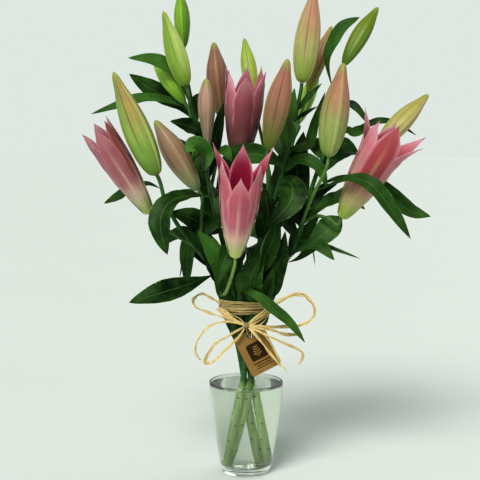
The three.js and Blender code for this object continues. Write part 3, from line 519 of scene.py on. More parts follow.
# Card tag: size, hole, place, and print: width, height, corner and middle of the panel and its
# rules, then the stalk of the sprig in the panel and the heights of its leaves
TAG_SIZE = (39, 52, 0.8)
TAG_CORNER = 4
TAG_HOLE = 3.5
TAG_HOLE_RISE = 20.5
TAG_PRINT = (
    (21, 21, 2.5, (-0.5, 0.5)), (24, 1.4, 0.4, (0.5, -13.4)), (18, 1.1, 0.4, (0.5, -16.6)),
    (21, 0.9, 0.3, (0.5, -19.4)),
)
TAG_SPRIG = (0.6, 14, 0.2, (-0.5, 0))
SPRIG_RISES = (-4, -1, 2, 5)
SPRIG_LEAN = math.radians(35)
INK_RISE = 0.05
TAG_PLACE = (
    Matrix.Translation(Vector((13.5, -21, 153.5)))
    @ Matrix.Rotation(math.radians(90 - 6), 4, "X")
    @ Matrix.Rotation(math.radians(27), 4, "Z")
)

# Vase: half the thickness of its rim, where the wall begins to thin towards it and over what
# height, roundings of foot and inner corner, how the sides swell, and the hollow under the foot as
# shares of its radius and heights
LIP = 0.75
THINNING = (10, 8)
FOOT_ROUNDING = 2
CORNER_ROUNDING = 3
SWELL = 1.6
FOOT_HOLLOW = ((0, 1.0), (0.45, 0.8), (0.8, 0.25))
# Water: how far it reaches into the glass, and its edge as distances from the glass and rises
OVERLAP = 0.1
MENISCUS = ((0, 0.7), (0.8, 0.3), (2.2, 0.05), (4, 0))
ROUND_STEPS = 112

# Stage: the floor's radius in metres, and the height over which the surround's light changes, as
# the upward part of a direction
FLOOR_RADIUS = 30
HORIZON_FADE = (0.15, 0.5)

VASE_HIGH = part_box("vase")[1]
WATER_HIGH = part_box("water")[1]


def tint(code):
    """Linear colour of a hex code."""
    shares = (int(code[i : i + 2], 16) / 255 for i in (0, 2, 4))
    return tuple(c / 12.92 if c < 0.04 else ((c + 0.055) / 1.055) ** 2.4 for c in shares)


def length_prop(name, description, default):
    return FloatProperty(
        name=name, description=description, default=default, subtype="DISTANCE", unit="LENGTH"
    )


def share_prop(name, description, default):
    return FloatProperty(
        name=name, description=description, default=default, min=0, max=1, subtype="FACTOR"
    )


def color_prop(name, description, code):
    return FloatVectorProperty(
        name=name, description=description, default=tint(code), min=0, max=1, subtype="COLOR"
    )


class LilyGlass(bpy.types.PropertyGroup):
    foot_radius: length_prop("Foot radius", "Radius of the vase's foot", 0.029)
    rim_radius: length_prop("Rim radius", "Outer radius of the rim", VASE_HIGH.x)
    height: length_prop("Height", "Height of the vase", VASE_HIGH.z)
    wall: length_prop("Wall", "Thickness of the glass wall", 0.0025)
    floor: length_prop("Floor", "Thickness of the glass floor", 0.010)
    level: length_prop("Water level", "Height of the water's surface", WATER_HIGH.z)
    glass: color_prop("Glass", "Tint of the glass", "f4f8f2")
    water: color_prop("Water", "Tint of the water", "f7f9f5")


class LilyFoliage(bpy.types.PropertyGroup):
    thickness: length_prop("Leaf thickness", "Thickness along the midrib", 0.0006)
    dark: color_prop("Dark green", "Shaded tone of a leaf's upper face", "061a07")
    light: color_prop("Mid green", "Lighter tone of a leaf's upper face", "487430")
    under: color_prop("Underside", "Tone of a leaf's underside", "4f7640")
    vein: color_prop("Midrib", "Tone of the midrib and veins", "668a4a")
    stem: color_prop("Stem", "Stem above the water", "2f5c2a")
    stalk: color_prop("Stalk", "Flower stalk under a bloom", "7f9f52")
    wet: color_prop("Wet stem", "Stem in the water", "b2d288")
    scar: color_prop("Leaf scar", "Scar where a leaf was stripped", "44452c")


class LilyBuds(bpy.types.PropertyGroup):
    sides: IntProperty(name="Sides", description="Faces round a bud", default=60, min=12)
    rows: IntProperty(name="Rows", description="Faces along a bud", default=44, min=12)
    rib: share_prop("Rib height", "Height of a rib as a share of the radius", 0.035)
    seam: share_prop("Seam depth", "Depth of a seam as a share of the radius", 0.05)
    tip: color_prop("Tip", "Tone of the very tip", "8a9642")


class LilyPetals(bpy.types.PropertyGroup):
    thickness: length_prop("Tepal thickness", "Thickness along the middle", 0.0010)
    ruffle: length_prop("Ruffle", "Wave of the margins", 0.0006)
    filament: color_prop("Filament", "Tone of filaments and pistil", "b9c98c")
    anther: color_prop("Anther", "Tone of the anthers", "8a5a30")


class LilyRaffia(bpy.types.PropertyGroup):
    thickness: length_prop("Ribbon thickness", "Thickness of a ribbon", 0.0005)
    turns: IntProperty(name="Turns", description="Turns round the stems", default=10, min=1)
    straw: color_prop("Straw", "Common tone of the raffia", "d2b160")
    husk: color_prop("Husk", "Dark fibres of the raffia", "7a5428")
    pale: color_prop("Pale", "Pale fibres of the raffia", "e4d09a")


class LilyTag(bpy.types.PropertyGroup):
    card: color_prop("Card", "Tone of the kraft card", "866a3c")
    fleck: color_prop("Fleck", "Dark fibres in the card", "6c5230")
    ink: color_prop("Ink", "Printed panel and rules", "302108")


class LilyStudio(bpy.types.PropertyGroup):
    floor: color_prop("Floor", "Plain floor", "d6dbd7")
    sky: color_prop("Horizon", "Light of the surround at the horizon", "d0d7d2")
    zenith: color_prop("Zenith", "Light of the surround straight above", "6f7a72")
    key: FloatProperty(
        name="Key light", description="Strength of the sun from the front", default=2.7, min=0
    )
    back: FloatProperty(
        name="Back light", description="Strength of the sun from behind", default=0.6, min=0
    )
    camera: FloatVectorProperty(
        name="Camera",
        description="Place of the camera",
        default=(-0.0074, -1.22, 0.4),
        subtype="TRANSLATION",
        unit="LENGTH",
    )
    pitch: FloatProperty(
        name="Pitch",
        description="How far the camera looks down",
        default=math.radians(5.4),
        subtype="ANGLE",
        unit="ROTATION",
    )
    lens: FloatProperty(
        name="Lens", description="Focal length in millimetres", default=76.3, unit="CAMERA"
    )


class LilySettings(bpy.types.PropertyGroup):
    glass: PointerProperty(type=LilyGlass)
    foliage: PointerProperty(type=LilyFoliage)
    buds: PointerProperty(type=LilyBuds)
    petals: PointerProperty(type=LilyPetals)
    raffia: PointerProperty(type=LilyRaffia)
    tag: PointerProperty(type=LilyTag)
    studio: PointerProperty(type=LilyStudio)


# Finishes


class Finish:
    """Nodes of one material round its Principled shader."""

    def __init__(self, name, **sockets):
        self.material = bpy.data.materials.new(name)
        self.material.use_nodes = True
        self.tree = self.material.node_tree
        self.shader = self.tree.nodes["Principled BSDF"]
        for socket, value in sockets.items():
            self.shader.inputs[socket.replace("_", " ")].default_value = value

    def node(self, kind, inputs, **settings):
        node = self.tree.nodes.new("ShaderNode" + kind)
        for name, value in settings.items():
            setattr(node, name, value)
        for socket, value in inputs.items():
            self.feed(node.inputs[socket], value)
        return node

    def feed(self, socket, value):
        if isinstance(value, bpy.types.NodeSocket):
            self.tree.links.new(value, socket)
        else:
            socket.default_value = (*value, 1) if socket.type == "RGBA" else value

    def place(self):
        """The three values of the piece's own place attribute."""
        mark = self.node("Attribute", {}, attribute_name="place")
        return self.node("SeparateXYZ", {0: mark.outputs["Vector"]}).outputs

    def mark(self):
        """The piece's own mark attribute."""
        return self.node("Attribute", {}, attribute_name="mark").outputs["Fac"]

    def spot(self):
        """Place on the object, in metres."""
        return self.node("TexCoord", {}).outputs["Object"]

    def maths(self, operation, a, b=0.0):
        return self.node("Math", {0: a, 1: b}, operation=operation).outputs[0]

    def times(self, a, b):
        return self.maths("MULTIPLY", a, b)

    def stretched(self, vector, *factors):
        """Place with its axes scaled, for a pattern that runs one way."""
        inputs = {0: vector, 1: factors}
        return self.node("VectorMath", inputs, operation="MULTIPLY").outputs[0]

    def vector(self, x, y, z):
        return self.node("CombineXYZ", {0: x, 1: y, 2: z}).outputs[0]

    def band(self, value, start, end, low=0.0, high=1.0):
        """Smooth step from low at start to high at end, where end may be the lower one."""
        inputs = {0: value, 1: start, 2: end, 3: low, 4: high}
        return self.node("MapRange", inputs, interpolation_type="SMOOTHSTEP").outputs[0]

    def noise(self, vector, scale, detail=3.0, roughness=0.55):
        inputs = {"Vector": vector, "Scale": scale, "Detail": detail, "Roughness": roughness}
        return self.node("TexNoise", inputs).outputs["Fac"]

    def mix(self, factor, a, b):
        return self.node("Mix", {0: factor, 6: a, 7: b}, data_type="RGBA").outputs[2]

    def ramp(self, factor, stops):
        node = self.node("ValToRGB", {0: factor})
        elements = node.color_ramp.elements
        elements.remove(elements[1])
        elements[0].position, elements[0].color = stops[0][0], (*stops[0][1], 1)
        for position, color in stops[1:]:
            elements.new(position).color = (*color, 1)
        return node.outputs[0]

    def shade(self, color, factor):
        """Color times a factor near one."""
        grey = self.vector(factor, factor, factor)
        inputs = {0: 1.0, 6: color, 7: grey}
        node = self.node("Mix", inputs, data_type="RGBA", blend_type="MULTIPLY")
        return node.outputs[2]

    def bump(self, height, distance, strength=1.0):
        inputs = {"Height": height, "Distance": distance, "Strength": strength}
        self.feed(self.shader.inputs["Normal"], self.node("Bump", inputs).outputs[0])

    def color(self, value):
        self.feed(self.shader.inputs["Base Color"], value)
        return self.material

    def gloss(self, value):
        self.feed(self.shader.inputs["Roughness"], value)


def clear_finish(name, color, ior, ripple):
    """Clear glass or water, faintly uneven."""
    finish = Finish(name, IOR=ior, Transmission_Weight=1.0, Roughness=0.0)
    finish.bump(finish.noise(finish.spot(), 35.0, 1.0), ripple)
    return finish.color(color)


def leaf_finish(name, dark, light, vein, roughness):
    """Leaf face: a tone of its own with lighter patches, fine long veins and a pale midrib."""
    finish = Finish(name, Roughness=roughness, Specular_IOR_Level=0.09)
    across, along, tone = finish.place()
    side = finish.maths("ABSOLUTE", across)
    grain = finish.noise(finish.vector(finish.times(across, 3.0), along, tone), 2.2)
    patch = finish.noise(finish.spot(), 45.0, 2.0)
    own = finish.maths("POWER", tone, 1.6)
    lightness = finish.maths("ADD", own, finish.band(patch, 0.35, 0.8, 0.0, 0.8))
    color = finish.mix(finish.times(lightness, 0.55), dark, light)
    stripes = finish.maths("SINE", finish.times(across, 42.0))
    color = finish.mix(finish.band(stripes, 0.5, 1.0, 0.0, 0.07), color, vein)
    color = finish.mix(finish.band(side, 0.055, 0.015, 0.0, 0.32), color, vein)
    color = finish.shade(color, finish.band(grain, 0.25, 0.75, 0.82, 1.14))
    finish.gloss(finish.band(grain, 0.2, 0.8, roughness - 0.05, roughness + 0.1))
    ridge = finish.maths("ADD", stripes, finish.band(side, 0.09, 0.0, 0.0, -3.0))
    finish.bump(ridge, 0.00012, 0.7)
    return finish.color(color)


def stem_finish(foliage):
    """Stem skin: long streaks, paler in the water, with ragged brown scars."""
    finish = Finish("stem_skin", Roughness=0.42, Specular_IOR_Level=0.25)
    scar, _, tone = finish.place()
    spot = finish.spot()
    height = finish.node("SeparateXYZ", {0: spot}).outputs[2]
    streak = finish.noise(finish.stretched(spot, 260, 260, 30), 1.0)
    color = finish.mix(tone, foliage.stem, foliage.stalk)
    color = finish.mix(finish.band(height, 0.118, 0.098), color, foliage.wet)
    color = finish.shade(color, finish.band(streak, 0.25, 0.75, 0.74, 1.2))
    crumbs = finish.band(finish.noise(spot, 900.0), 0.3, 0.7, 0.5, 1.3)
    ragged = finish.times(scar, crumbs)
    color = finish.mix(finish.band(ragged, 0.25, 0.6, 0.0, 0.9), color, foliage.scar)
    finish.bump(streak, 0.0003, 0.6)
    return finish.color(color)


def bud_finish(name, looks, tip):
    """Bud skin: foot to top, a blush on one side (on green buds a painted highlight), streaks, pale
    ribs and dark seams.
    """
    foot, middle, top, rib, seam, blush_and_highlight, blush_and_highlight_turn, blush_and_highlight_low, turn = looks
    finish = Finish(
        "skin_" + name, Roughness=0.42, Specular_IOR_Level=0.3, Subsurface_Weight=0.06,
        Subsurface_Radius=(0.004, 0.003, 0.001),
    )
    place = finish.node("Attribute", {}, attribute_name="place").outputs["Vector"]
    along = finish.node("SeparateXYZ", {0: place}).outputs[2]
    wave = finish.mark()
    color = finish.ramp(
        along, [(0.03, tint(foot)), (0.4, tint(middle)), (0.8, tint(top)), (1.0, tint(top))]
    )
    # blush on one side: the bud's own flush on pink and tan buds, a painted highlight on the lit
    # side of green buds
    angle = math.radians(blush_and_highlight_turn - turn)
    toward = (math.cos(angle), math.sin(angle), 0)
    facing = finish.node("VectorMath", {0: place, 1: toward}, operation="DOT_PRODUCT")
    amount = finish.times(
        finish.band(facing.outputs["Value"], -0.35, 0.8, 0.0, 0.85),
        finish.band(along, blush_and_highlight_low, blush_and_highlight_low + 0.45),
    )
    color = finish.mix(amount, color, tint(blush_and_highlight))
    streak = finish.noise(finish.stretched(place, 5.0, 5.0, 0.9), 2.4, 4.0)
    mottle = finish.noise(finish.spot(), 90.0, 3.0)
    color = finish.shade(color, finish.band(streak, 0.28, 0.72, 0.8, 1.15))
    color = finish.shade(color, finish.band(mottle, 0.3, 0.7, 0.94, 1.05))
    color = finish.mix(finish.band(wave, 0.86, 0.99, 0.0, 0.5), color, tint(rib))
    flank = finish.times(finish.band(wave, 0.5, 0.8), finish.band(wave, 0.94, 0.84, 0.0, 0.16))
    color = finish.mix(flank, color, tint(seam))
    groove = finish.band(wave, -0.955, -0.998, 0.0, 0.85)
    color = finish.mix(finish.times(groove, finish.band(along, 0.12, 0.5)), color, tint(seam))
    color = finish.mix(finish.band(along, 0.84, 0.98, 0.0, 0.75), color, tip)
    finish.bump(streak, 0.00025, 0.5)
    return finish.color(color)


def petal_finish(name, colors, is_inside):
    """Tepal face: foot to tip, flushed by its mark, with a pale rib, pale margins and veins."""
    foot, throat, body, deep, tip, flush = (tint(code) for code in colors)
    finish = Finish(
        name, Roughness=0.5, Specular_IOR_Level=0.25, Subsurface_Weight=0.12,
        Subsurface_Radius=(0.005, 0.002, 0.0015),
    )
    across, along, tone = finish.place()
    side = finish.maths("ABSOLUTE", across)
    color = finish.ramp(
        along, [(0.04, foot), (0.2, throat), (0.4, body), (0.76, deep), (0.99, tip)]
    )
    flushed = finish.times(finish.mark(), finish.band(along, 0.22, 0.5))
    if is_inside:
        flushed = finish.times(flushed, finish.band(along, 0.98, 0.75))
    color = finish.mix(finish.times(flushed, 0.9), color, flush)
    rib = finish.band(side, 0.24, 0.03)
    if is_inside:
        rib = finish.times(rib, finish.band(along, 0.55, 0.05, 0.0, 0.7))
        margin = finish.band(side, 0.7, 1.0, 0.0, 0.8)
    else:
        rib = finish.times(rib, finish.band(along, 0.95, 0.3, 0.0, 0.55))
        margin = finish.band(side, 0.6, 1.0, 0.0, 0.5)
    color = finish.mix(rib, color, throat)
    color = finish.mix(finish.times(margin, finish.band(along, 0.3, 0.6)), color, tip)
    fan = finish.vector(finish.times(across, 7.0), along, tone)
    veins = finish.noise(fan, 3.2, 4.0)
    color = finish.shade(color, finish.band(veins, 0.28, 0.72, 0.86, 1.1))
    cloud = finish.noise(finish.spot(), 60.0, 2.0)
    color = finish.shade(color, finish.band(cloud, 0.3, 0.7, 0.93, 1.06))
    finish.bump(veins, 0.0004, 0.7)
    return finish.color(color)


def cup_finish(name, codes):
    """Green foot of a flower."""
    finish = Finish(name, Roughness=0.45, IOR=1.42)
    grain = finish.noise(finish.spot(), 300.0)
    color = finish.mix(finish.band(grain, 0.3, 0.7), tint(codes[0]), tint(codes[1]))
    finish.bump(grain, 0.0002, 0.4)
    return finish.color(color)


def grainy_finish(name, color, roughness):
    """Fine matt grain, as on anthers and ink."""
    finish = Finish(name, Roughness=roughness, Specular_IOR_Level=0.1)
    grain = finish.noise(finish.spot(), 900.0)
    finish.bump(grain, 0.0002, 0.8)
    return finish.color(finish.shade(color, finish.band(grain, 0.3, 0.7, 0.75, 1.2)))


def raffia_finish(raffia):
    """Dry leaf strip: long fibres and stains, with painted shade that darkens the strips in the
    wrap and knot.
    """
    finish = Finish("raffia_fibre", Roughness=0.62, Specular_IOR_Level=0.2)
    across, along, tone = finish.place()
    wide = finish.times(across, 2.6)
    fibre = finish.noise(finish.vector(wide, finish.times(along, 0.06), tone), 4.0, 5.0)
    stain = finish.noise(finish.vector(tone, finish.times(along, 0.05), 0.0), 3.0)
    color = finish.mix(finish.band(fibre, 0.35, 0.62), raffia.straw, raffia.pale)
    color = finish.mix(finish.band(fibre, 0.5, 0.26, 0.0, 0.7), color, raffia.husk)
    color = finish.shade(color, finish.band(stain, 0.3, 0.7, 0.8, 1.1))
    # painted shade: the strip's mark darkens it, most on the wrap and knot under the leaves
    color = finish.shade(color, finish.band(finish.mark(), 0.0, 1.0, 1.1, 0.4))
    finish.bump(fibre, 0.0004, 0.9)
    return finish.color(color)


def card_finish(tag):
    """Kraft card with dark fibres."""
    finish = Finish("kraft_card", Roughness=0.85, Specular_IOR_Level=0.1)
    spot = finish.spot()
    fleck = finish.noise(finish.stretched(spot, 1.0, 1.0, 3.0), 700.0, 4.0, 0.7)
    cloud = finish.noise(spot, 60.0)
    color = finish.mix(finish.band(fleck, 0.52, 0.72, 0.0, 0.75), tag.card, tag.fleck)
    color = finish.shade(color, finish.band(cloud, 0.3, 0.7, 0.9, 1.08))
    finish.bump(fleck, 0.0001, 0.5)
    return finish.color(color)


# Shapes, modelled in millimetres


def mm(value):
    return value / MM


def clamp(value):
    return min(max(value, 0.0), 1.0)


def lerp(a, b, share):
    return a + (b - a) * share


def smooth(value):
    return value * value * (3 - 2 * value)


def between(share, start, end):
    """One along the middle of a length, and falling to nothing over a share at each end."""
    return smooth(clamp(share / start)) * smooth(clamp((1 - share) / end))


def curve(points, t):
    """Point and direction at share t of a smooth curve that runs through its points."""
    i = min(int(t * (len(points) - 1)), len(points) - 2)
    u = t * (len(points) - 1) - i
    a, b = points[i], points[i + 1]
    before = points[i - 1] if i else 2 * a - b
    after = points[i + 2] if i + 2 < len(points) else 2 * b - a
    leave, arrive = (b - before) / 2, (after - a) / 2
    uu, uuu = u * u, u * u * u
    point = (2 * uuu - 3 * uu + 1) * a + (uuu - 2 * uu + u) * leave
    point += (3 * uu - 2 * uuu) * b + (uuu - uu) * arrive
    slope = (6 * uu - 6 * u) * (a - b) + (3 * uu - 4 * u + 1) * leave + (3 * uu - 2 * u) * arrive
    return point, slope.normalized()


def stations(points, step):
    """Even places along a curve, about a step apart: point, two directions across it, distance."""
    fine = 24 * (len(points) - 1)
    samples = [curve(points, i / fine) for i in range(fine + 1)]
    run = [0.0]
    for (a, _), (b, _) in zip(samples, samples[1:]):
        run.append(run[-1] + (b - a).length)
    count = max(4, round(run[-1] / step))
    side = samples[0][1].orthogonal().normalized()
    found, i = [], 0
    for k in range(count + 1):
        distance = run[-1] * k / count
        while i < fine - 1 and run[i + 1] < distance:
            i += 1
        share = clamp((distance - run[i]) / max(run[i + 1] - run[i], 1e-9))
        point = samples[i][0].lerp(samples[i + 1][0], share)
        along = samples[i][1].lerp(samples[i + 1][1], share).normalized()
        side = (side - along * side.dot(along)).normalized()
        found.append((point, side, along.cross(side), distance))
    return found


def around(middle, front, right, reach, angle):
    """Place at a distance from a middle, turned by an angle from its front to its right."""
    return middle + front * (reach * math.cos(angle)) + right * (reach * math.sin(angle))


def new_shape():
    bm = bmesh.new()
    bm.verts.layers.float_vector.new("place")
    bm.verts.layers.float.new("mark")
    return bm


def rolled(bm, sides, rows, ring, slot_at=lambda turn: 0):
    """Closed skin: a grid is rolled round and its two sides are merged. ring(row) gives a
    function of the turn, from 0 to 1, to the vertex's place and its marks."""
    place = bm.verts.layers.float_vector["place"]
    mark = bm.verts.layers.float["mark"]
    verts = bmesh.ops.create_grid(bm, x_segments=sides, y_segments=rows, size=0.5)["verts"]
    for face in {face for vert in verts for face in vert.link_faces}:
        face.material_index = slot_at(face.calc_center_median().x + 0.5)
    rings = [ring(row) for row in range(rows + 1)]
    for vert in verts:
        row = round((vert.co.y + 0.5) * rows)
        turn = round((vert.co.x + 0.5) * sides) % sides / sides
        vert.co, vert[place], *more = rings[row](turn)
        vert[mark] = more[0] if more else 0.0
    bmesh.ops.remove_doubles(bm, verts=verts, dist=MERGE)


def lens(turn):
    """Place across a blade, from 1 to -1 and back, and its face (1) or underside (-1)."""
    return (1 - 4 * turn, 1) if turn < 0.5 else (4 * turn - 3, -1)


def underside(turn):
    return int(turn > 0.5)


def capped(row, rows):
    """Share along a skin whose first and last rows close its ends, and whether this is one."""
    return clamp((row - 1) / (rows - 2)), row in (0, rows)


def turned(bm, outline, steps):
    """Spins an outline of (radius, height) places round the upright axis."""
    verts = [bm.verts.new((radius, 0, height)) for radius, height in outline]
    edges = [bm.edges.new(pair) for pair in zip(verts, verts[1:])]
    bmesh.ops.spin(
        bm, geom=verts + edges, cent=(0, 0, 0), axis=UP, angle=TURN, steps=steps,
        use_merge=True, use_duplicate=False,
    )
    bmesh.ops.remove_doubles(bm, verts=bm.verts, dist=MERGE)


def tube(bm, points, radii, sides, step, tone=0.0, scars=()):
    """Round stalk along a curve, with a low bump at each scar (distance, angle)."""
    line = stations([Vector(point) for point in points], step)
    rows = len(line) + 1
    whole = line[-1][3]

    def ring(row):
        point, side, above, distance = line[min(max(row - 1, 0), len(line) - 1)]
        share = distance / whole
        radius = 0.0 if row in (0, rows) else lerp(*radii, share)
        near = [(d - distance, angle) for d, angle in scars if abs(d - distance) < SCAR_ROOM]

        def at(turn):
            angle = turn * TURN
            mark = 0.0
            for away, middle in near:
                round_it = (angle - middle + math.pi) % TURN - math.pi
                near_it = (away / SCAR_LENGTH) ** 2 + (round_it / SCAR_SPREAD) ** 2
                mark = max(mark, math.exp(-near_it))
            uneven = RIDGE_RISE * math.sin(RIDGES * angle + RIDGE_TURN * share)
            reach = radius * (1 + SCAR_RISE * mark + uneven)
            where = around(point, side, above, reach, angle)
            return where, (mark if radius else 0.0, share, tone)

        return at

    rolled(bm, sides, rows, ring)


def spindle(bm, start, end, radius, sides=12, rows=12, fullness=0.6, tone=0.0):
    """Rounded body between two points."""
    along = (end - start).normalized()
    side = along.orthogonal().normalized()
    above = along.cross(side)

    def ring(row):
        share = row / rows
        reach = radius * math.sin(math.pi * share) ** fullness if 0 < row < rows else 0.0
        middle = start.lerp(end, share)

        def at(turn):
            angle = turn * TURN
            where = around(middle, side, above, reach, angle)
            return where, (math.cos(angle), share * 100, tone)

        return at

    rolled(bm, sides, rows, ring)


def finish_piece(name, bm, materials, slot, *nodes):
    """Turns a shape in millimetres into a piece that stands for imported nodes."""
    bmesh.ops.scale(bm, vec=(MM, MM, MM), verts=bm.verts)
    bmesh.ops.recalc_face_normals(bm, faces=bm.faces)
    for face in bm.faces:
        face.smooth = True
    for edge in bm.edges:
        edge.smooth = edge.calc_face_angle(0) < SHARP_EDGE
    mesh = bpy.data.meshes.new(name)
    bm.to_mesh(mesh)
    bm.free()
    for material in materials:
        mesh.materials.append(material)
    piece = bpy.data.objects.new(name, mesh)
    bpy.context.scene.collection.objects.link(piece)
    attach(piece, "root")
    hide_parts(*nodes)
    return piece


# Vase and water


def glass_radius(glass, height):
    """Outer radius of the vase at a height."""
    spread = mm(glass.rim_radius - glass.foot_radius)
    rise = 1 - height / mm(glass.height)
    return mm(glass.foot_radius) + spread * (1 - max(rise, 0) ** SWELL)


def arc(center, radius, start, end, steps):
    """Outline points round a centre, between two angles in degrees."""
    angles = (math.radians(lerp(start, end, k / steps)) for k in range(steps + 1))
    return [(center[0] + radius * math.cos(a), center[1] + radius * math.sin(a)) for a in angles]


def inner_outline(glass, grow, top):
    """Inside of the vase from the middle of its floor up to a height, grown outwards."""
    bend, steps = CORNER_ROUNDING, 26
    low = mm(glass.floor) - grow
    wall = mm(glass.wall) - grow
    corner = (glass_radius(glass, low + bend) - wall - bend, low + bend)
    below_rim, fade = THINNING
    side = []
    for k in range(1, steps + 1):
        height = lerp(low + bend, top, k / steps)
        share = smooth(clamp((height - mm(glass.height) + below_rim) / fade))
        thinned = (mm(glass.wall) - 2 * LIP) * share
        side.append((glass_radius(glass, height) - wall + thinned, height))
    return [(0, low), *arc(corner, bend, -90, 0, 8), *side]


class LILIES_OT_vase(bpy.types.Operator):
    """Build the clear glass vase"""

    bl_idname = "lilies.vase"
    bl_label = "Vase"

    def execute(self, context):
        glass = context.scene.lilies.glass
        bevel, top, steps = FOOT_ROUNDING, mm(glass.height) - LIP, 30
        foot = glass_radius(glass, bevel) - bevel
        heights = [lerp(bevel, top, k / steps) for k in range(1, steps + 1)]
        outline = [
            *((foot * share, rise) for share, rise in FOOT_HOLLOW),
            *arc((foot, bevel), bevel, -90, 0, 6),
            *((glass_radius(glass, z), z) for z in heights),
            *arc((glass_radius(glass, top) - LIP, top), LIP, 15, 165, 6),
            *reversed(inner_outline(glass, 0, top)),
        ]
        bm = new_shape()
        turned(bm, outline, ROUND_STEPS)
        material = clear_finish("clear_glass", glass.glass, 1.5, 0.00002)
        finish_piece("glass_vase", bm, [material], "clear_glass", "vase")
        return {"FINISHED"}


class LILIES_OT_water(bpy.types.Operator):
    """Fill the vase, a hair into the glass so that the light bends as it does in one body"""

    bl_idname = "lilies.water"
    bl_label = "Water"

    def execute(self, context):
        glass = context.scene.lilies.glass
        level = mm(glass.level)
        outline = inner_outline(glass, OVERLAP, level + MENISCUS[0][1])
        edge = outline[-1][0]
        outline += [(edge - away, level + rise) for away, rise in MENISCUS[1:]]
        bm = new_shape()
        turned(bm, [*outline, (0, level)], ROUND_STEPS)
        material = clear_finish("still_water", glass.water, 1.33, 0.00001)
        finish_piece("vase_water", bm, [material], "water", "water")
        return {"FINISHED"}


# Stems and leaves


def head_axes(name):
    """Foot of a flower head, its direction, the direction in front of it and to its right."""
    foot, tip = Vector(HEADS[name]["foot"]), Vector(HEADS[name]["tip"])
    along = (tip - foot).normalized()
    front = (FRONT - along * FRONT.dot(along)).normalized()
    return foot, along, front, along.cross(front)


def line_to_head(path, name):
    """Line of a stalk, led straight up to the foot of its head."""
    foot, along, *_ = head_axes(name)
    return [*(Vector(point) for point in path), foot - NECK * along, foot - GAP * along]


def at_height(stem, height):
    """Place on a stem's line at a height."""
    line = line_to_head(stem["path"], stem["head"])
    after = next(i for i, point in enumerate(line) if point.z > height)
    low, high = line[after - 1], line[after]
    return low.lerp(high, (height - low.z) / (high.z - low.z))


def leaf_row(stem):
    """Plain leaves that spiral up a stem, in the form of the stem's listed leaves."""
    start, end, count, first = stem["row"]
    for i in range(count):
        share = i / (count - 1)
        height = lerp(start, end, share)
        root = at_height(stem, height)
        angle = i * GOLDEN_ANGLE + first * TURN
        length = ROW_LENGTH * (1 - ROW_SHORTENING * share)
        roll = -ROW_ROLL if math.cos(angle) > 0 else ROW_ROLL
        ahead = Vector((math.cos(angle), math.sin(angle), 0))
        habit = ROW_HABITS[i % len(ROW_HABITS)]
        line = [root + ahead * (out * length) + UP * (rise * length) for out, rise in habit]
        face = (-roll * math.sin(angle), roll * math.cos(angle), 1)
        yield height, ROW_WIDTH * (1 - ROW_NARROWING * share), face, LEAF_WIDEST, None, line


def nudged(root, point, degrees, lift):
    """A leaf's point, turned round its root and lifted the more the further out it is."""
    reach = Vector(point) - root
    reach.z += lift * math.hypot(reach.x, reach.y)
    return root + Matrix.Rotation(math.radians(degrees), 3, "Z") @ reach


def leaves_of(stem, node):
    """Line, upper face, width, widest place and tone of each leaf, turned as in the solid. The
    solid's own leaf ends tell the turn, and a leaf that found no room there is left out here."""
    vertices = frame["nodes"][node].data.vertices
    corners = KDTree(len(vertices))
    for i, vertex in enumerate(vertices):
        corners.insert(vertex.co, i)
    corners.balance()
    for height, width, face, widest, tone, line in [*stem["leaves"], *leaf_row(stem)]:
        root = at_height(stem, height)
        for degrees, lift in NUDGES:
            path = [root, *(nudged(root, point, degrees, lift) for point in line)]
            if mm(corners.find(path[-1] * MM)[2]) < SAME_POINT:
                yield path, Vector(face), width, widest, tone
                break


def lean_of(widest):
    """Power that moves the widest place of a sine's hump from the middle."""
    return math.log(0.5) / math.log(widest)


def leaf_blade(bm, path, face, width, widest, thickness, tone):
    """Pointed blade, folded along its midrib, that ripples along its path."""
    sides, rows = LEAF_GRID
    at_tip, more = LEAF_BODY
    lean = lean_of(widest)

    def ring(row):
        t = row / rows
        middle, along = curve(path, t)
        across = face.cross(along).normalized()
        above = along.cross(across)
        swell = math.sin(math.pi * t**lean) ** LEAF_FULLNESS if 0 < row < rows else 0
        half = width / 2 * swell
        ripple = LEAF_WAVE * half * math.sin(LEAF_RIPPLES * TURN * t)
        flutter = LEAF_FLUTTER * half * math.sin(LEAF_FLUTTERS * TURN * t + 9 * tone)
        body = thickness / 2 * (at_tip + more * (1 - t)) if half else 0

        def at(turn):
            q, side = lens(turn)
            crease = LEAF_FOLD * half * (abs(q) - LEAF_PILLOW * math.sin(math.pi * abs(q)))
            rise = crease + ripple * q + flutter * q**3 + side * body * (1 - q * q)
            return middle + across * (half * q) + above * rise, (q, t, tone)

        return at

    rolled(bm, sides, rows, ring, lambda turn: 1 + underside(turn))


def neck_leaves(bm, thickness, draw):
    """Sheath leaves that the raffia binds in round the stems."""
    wide, deep, _ = NECK_LINE[1]
    for degrees in NECK_LEAVES:
        angle = math.radians(degrees)
        x, y = math.cos(angle), math.sin(angle)
        path = [Vector((x * out, y * back, height)) for out, back, height in NECK_LINE]
        path[-1].z += draw.uniform(*NECK_RISES)
        face = Vector((x, y * wide / deep, 0.1))
        width = draw.uniform(*NECK_WIDTHS)
        leaf_blade(bm, path, face, width, NECK_WIDEST, thickness, draw.random())


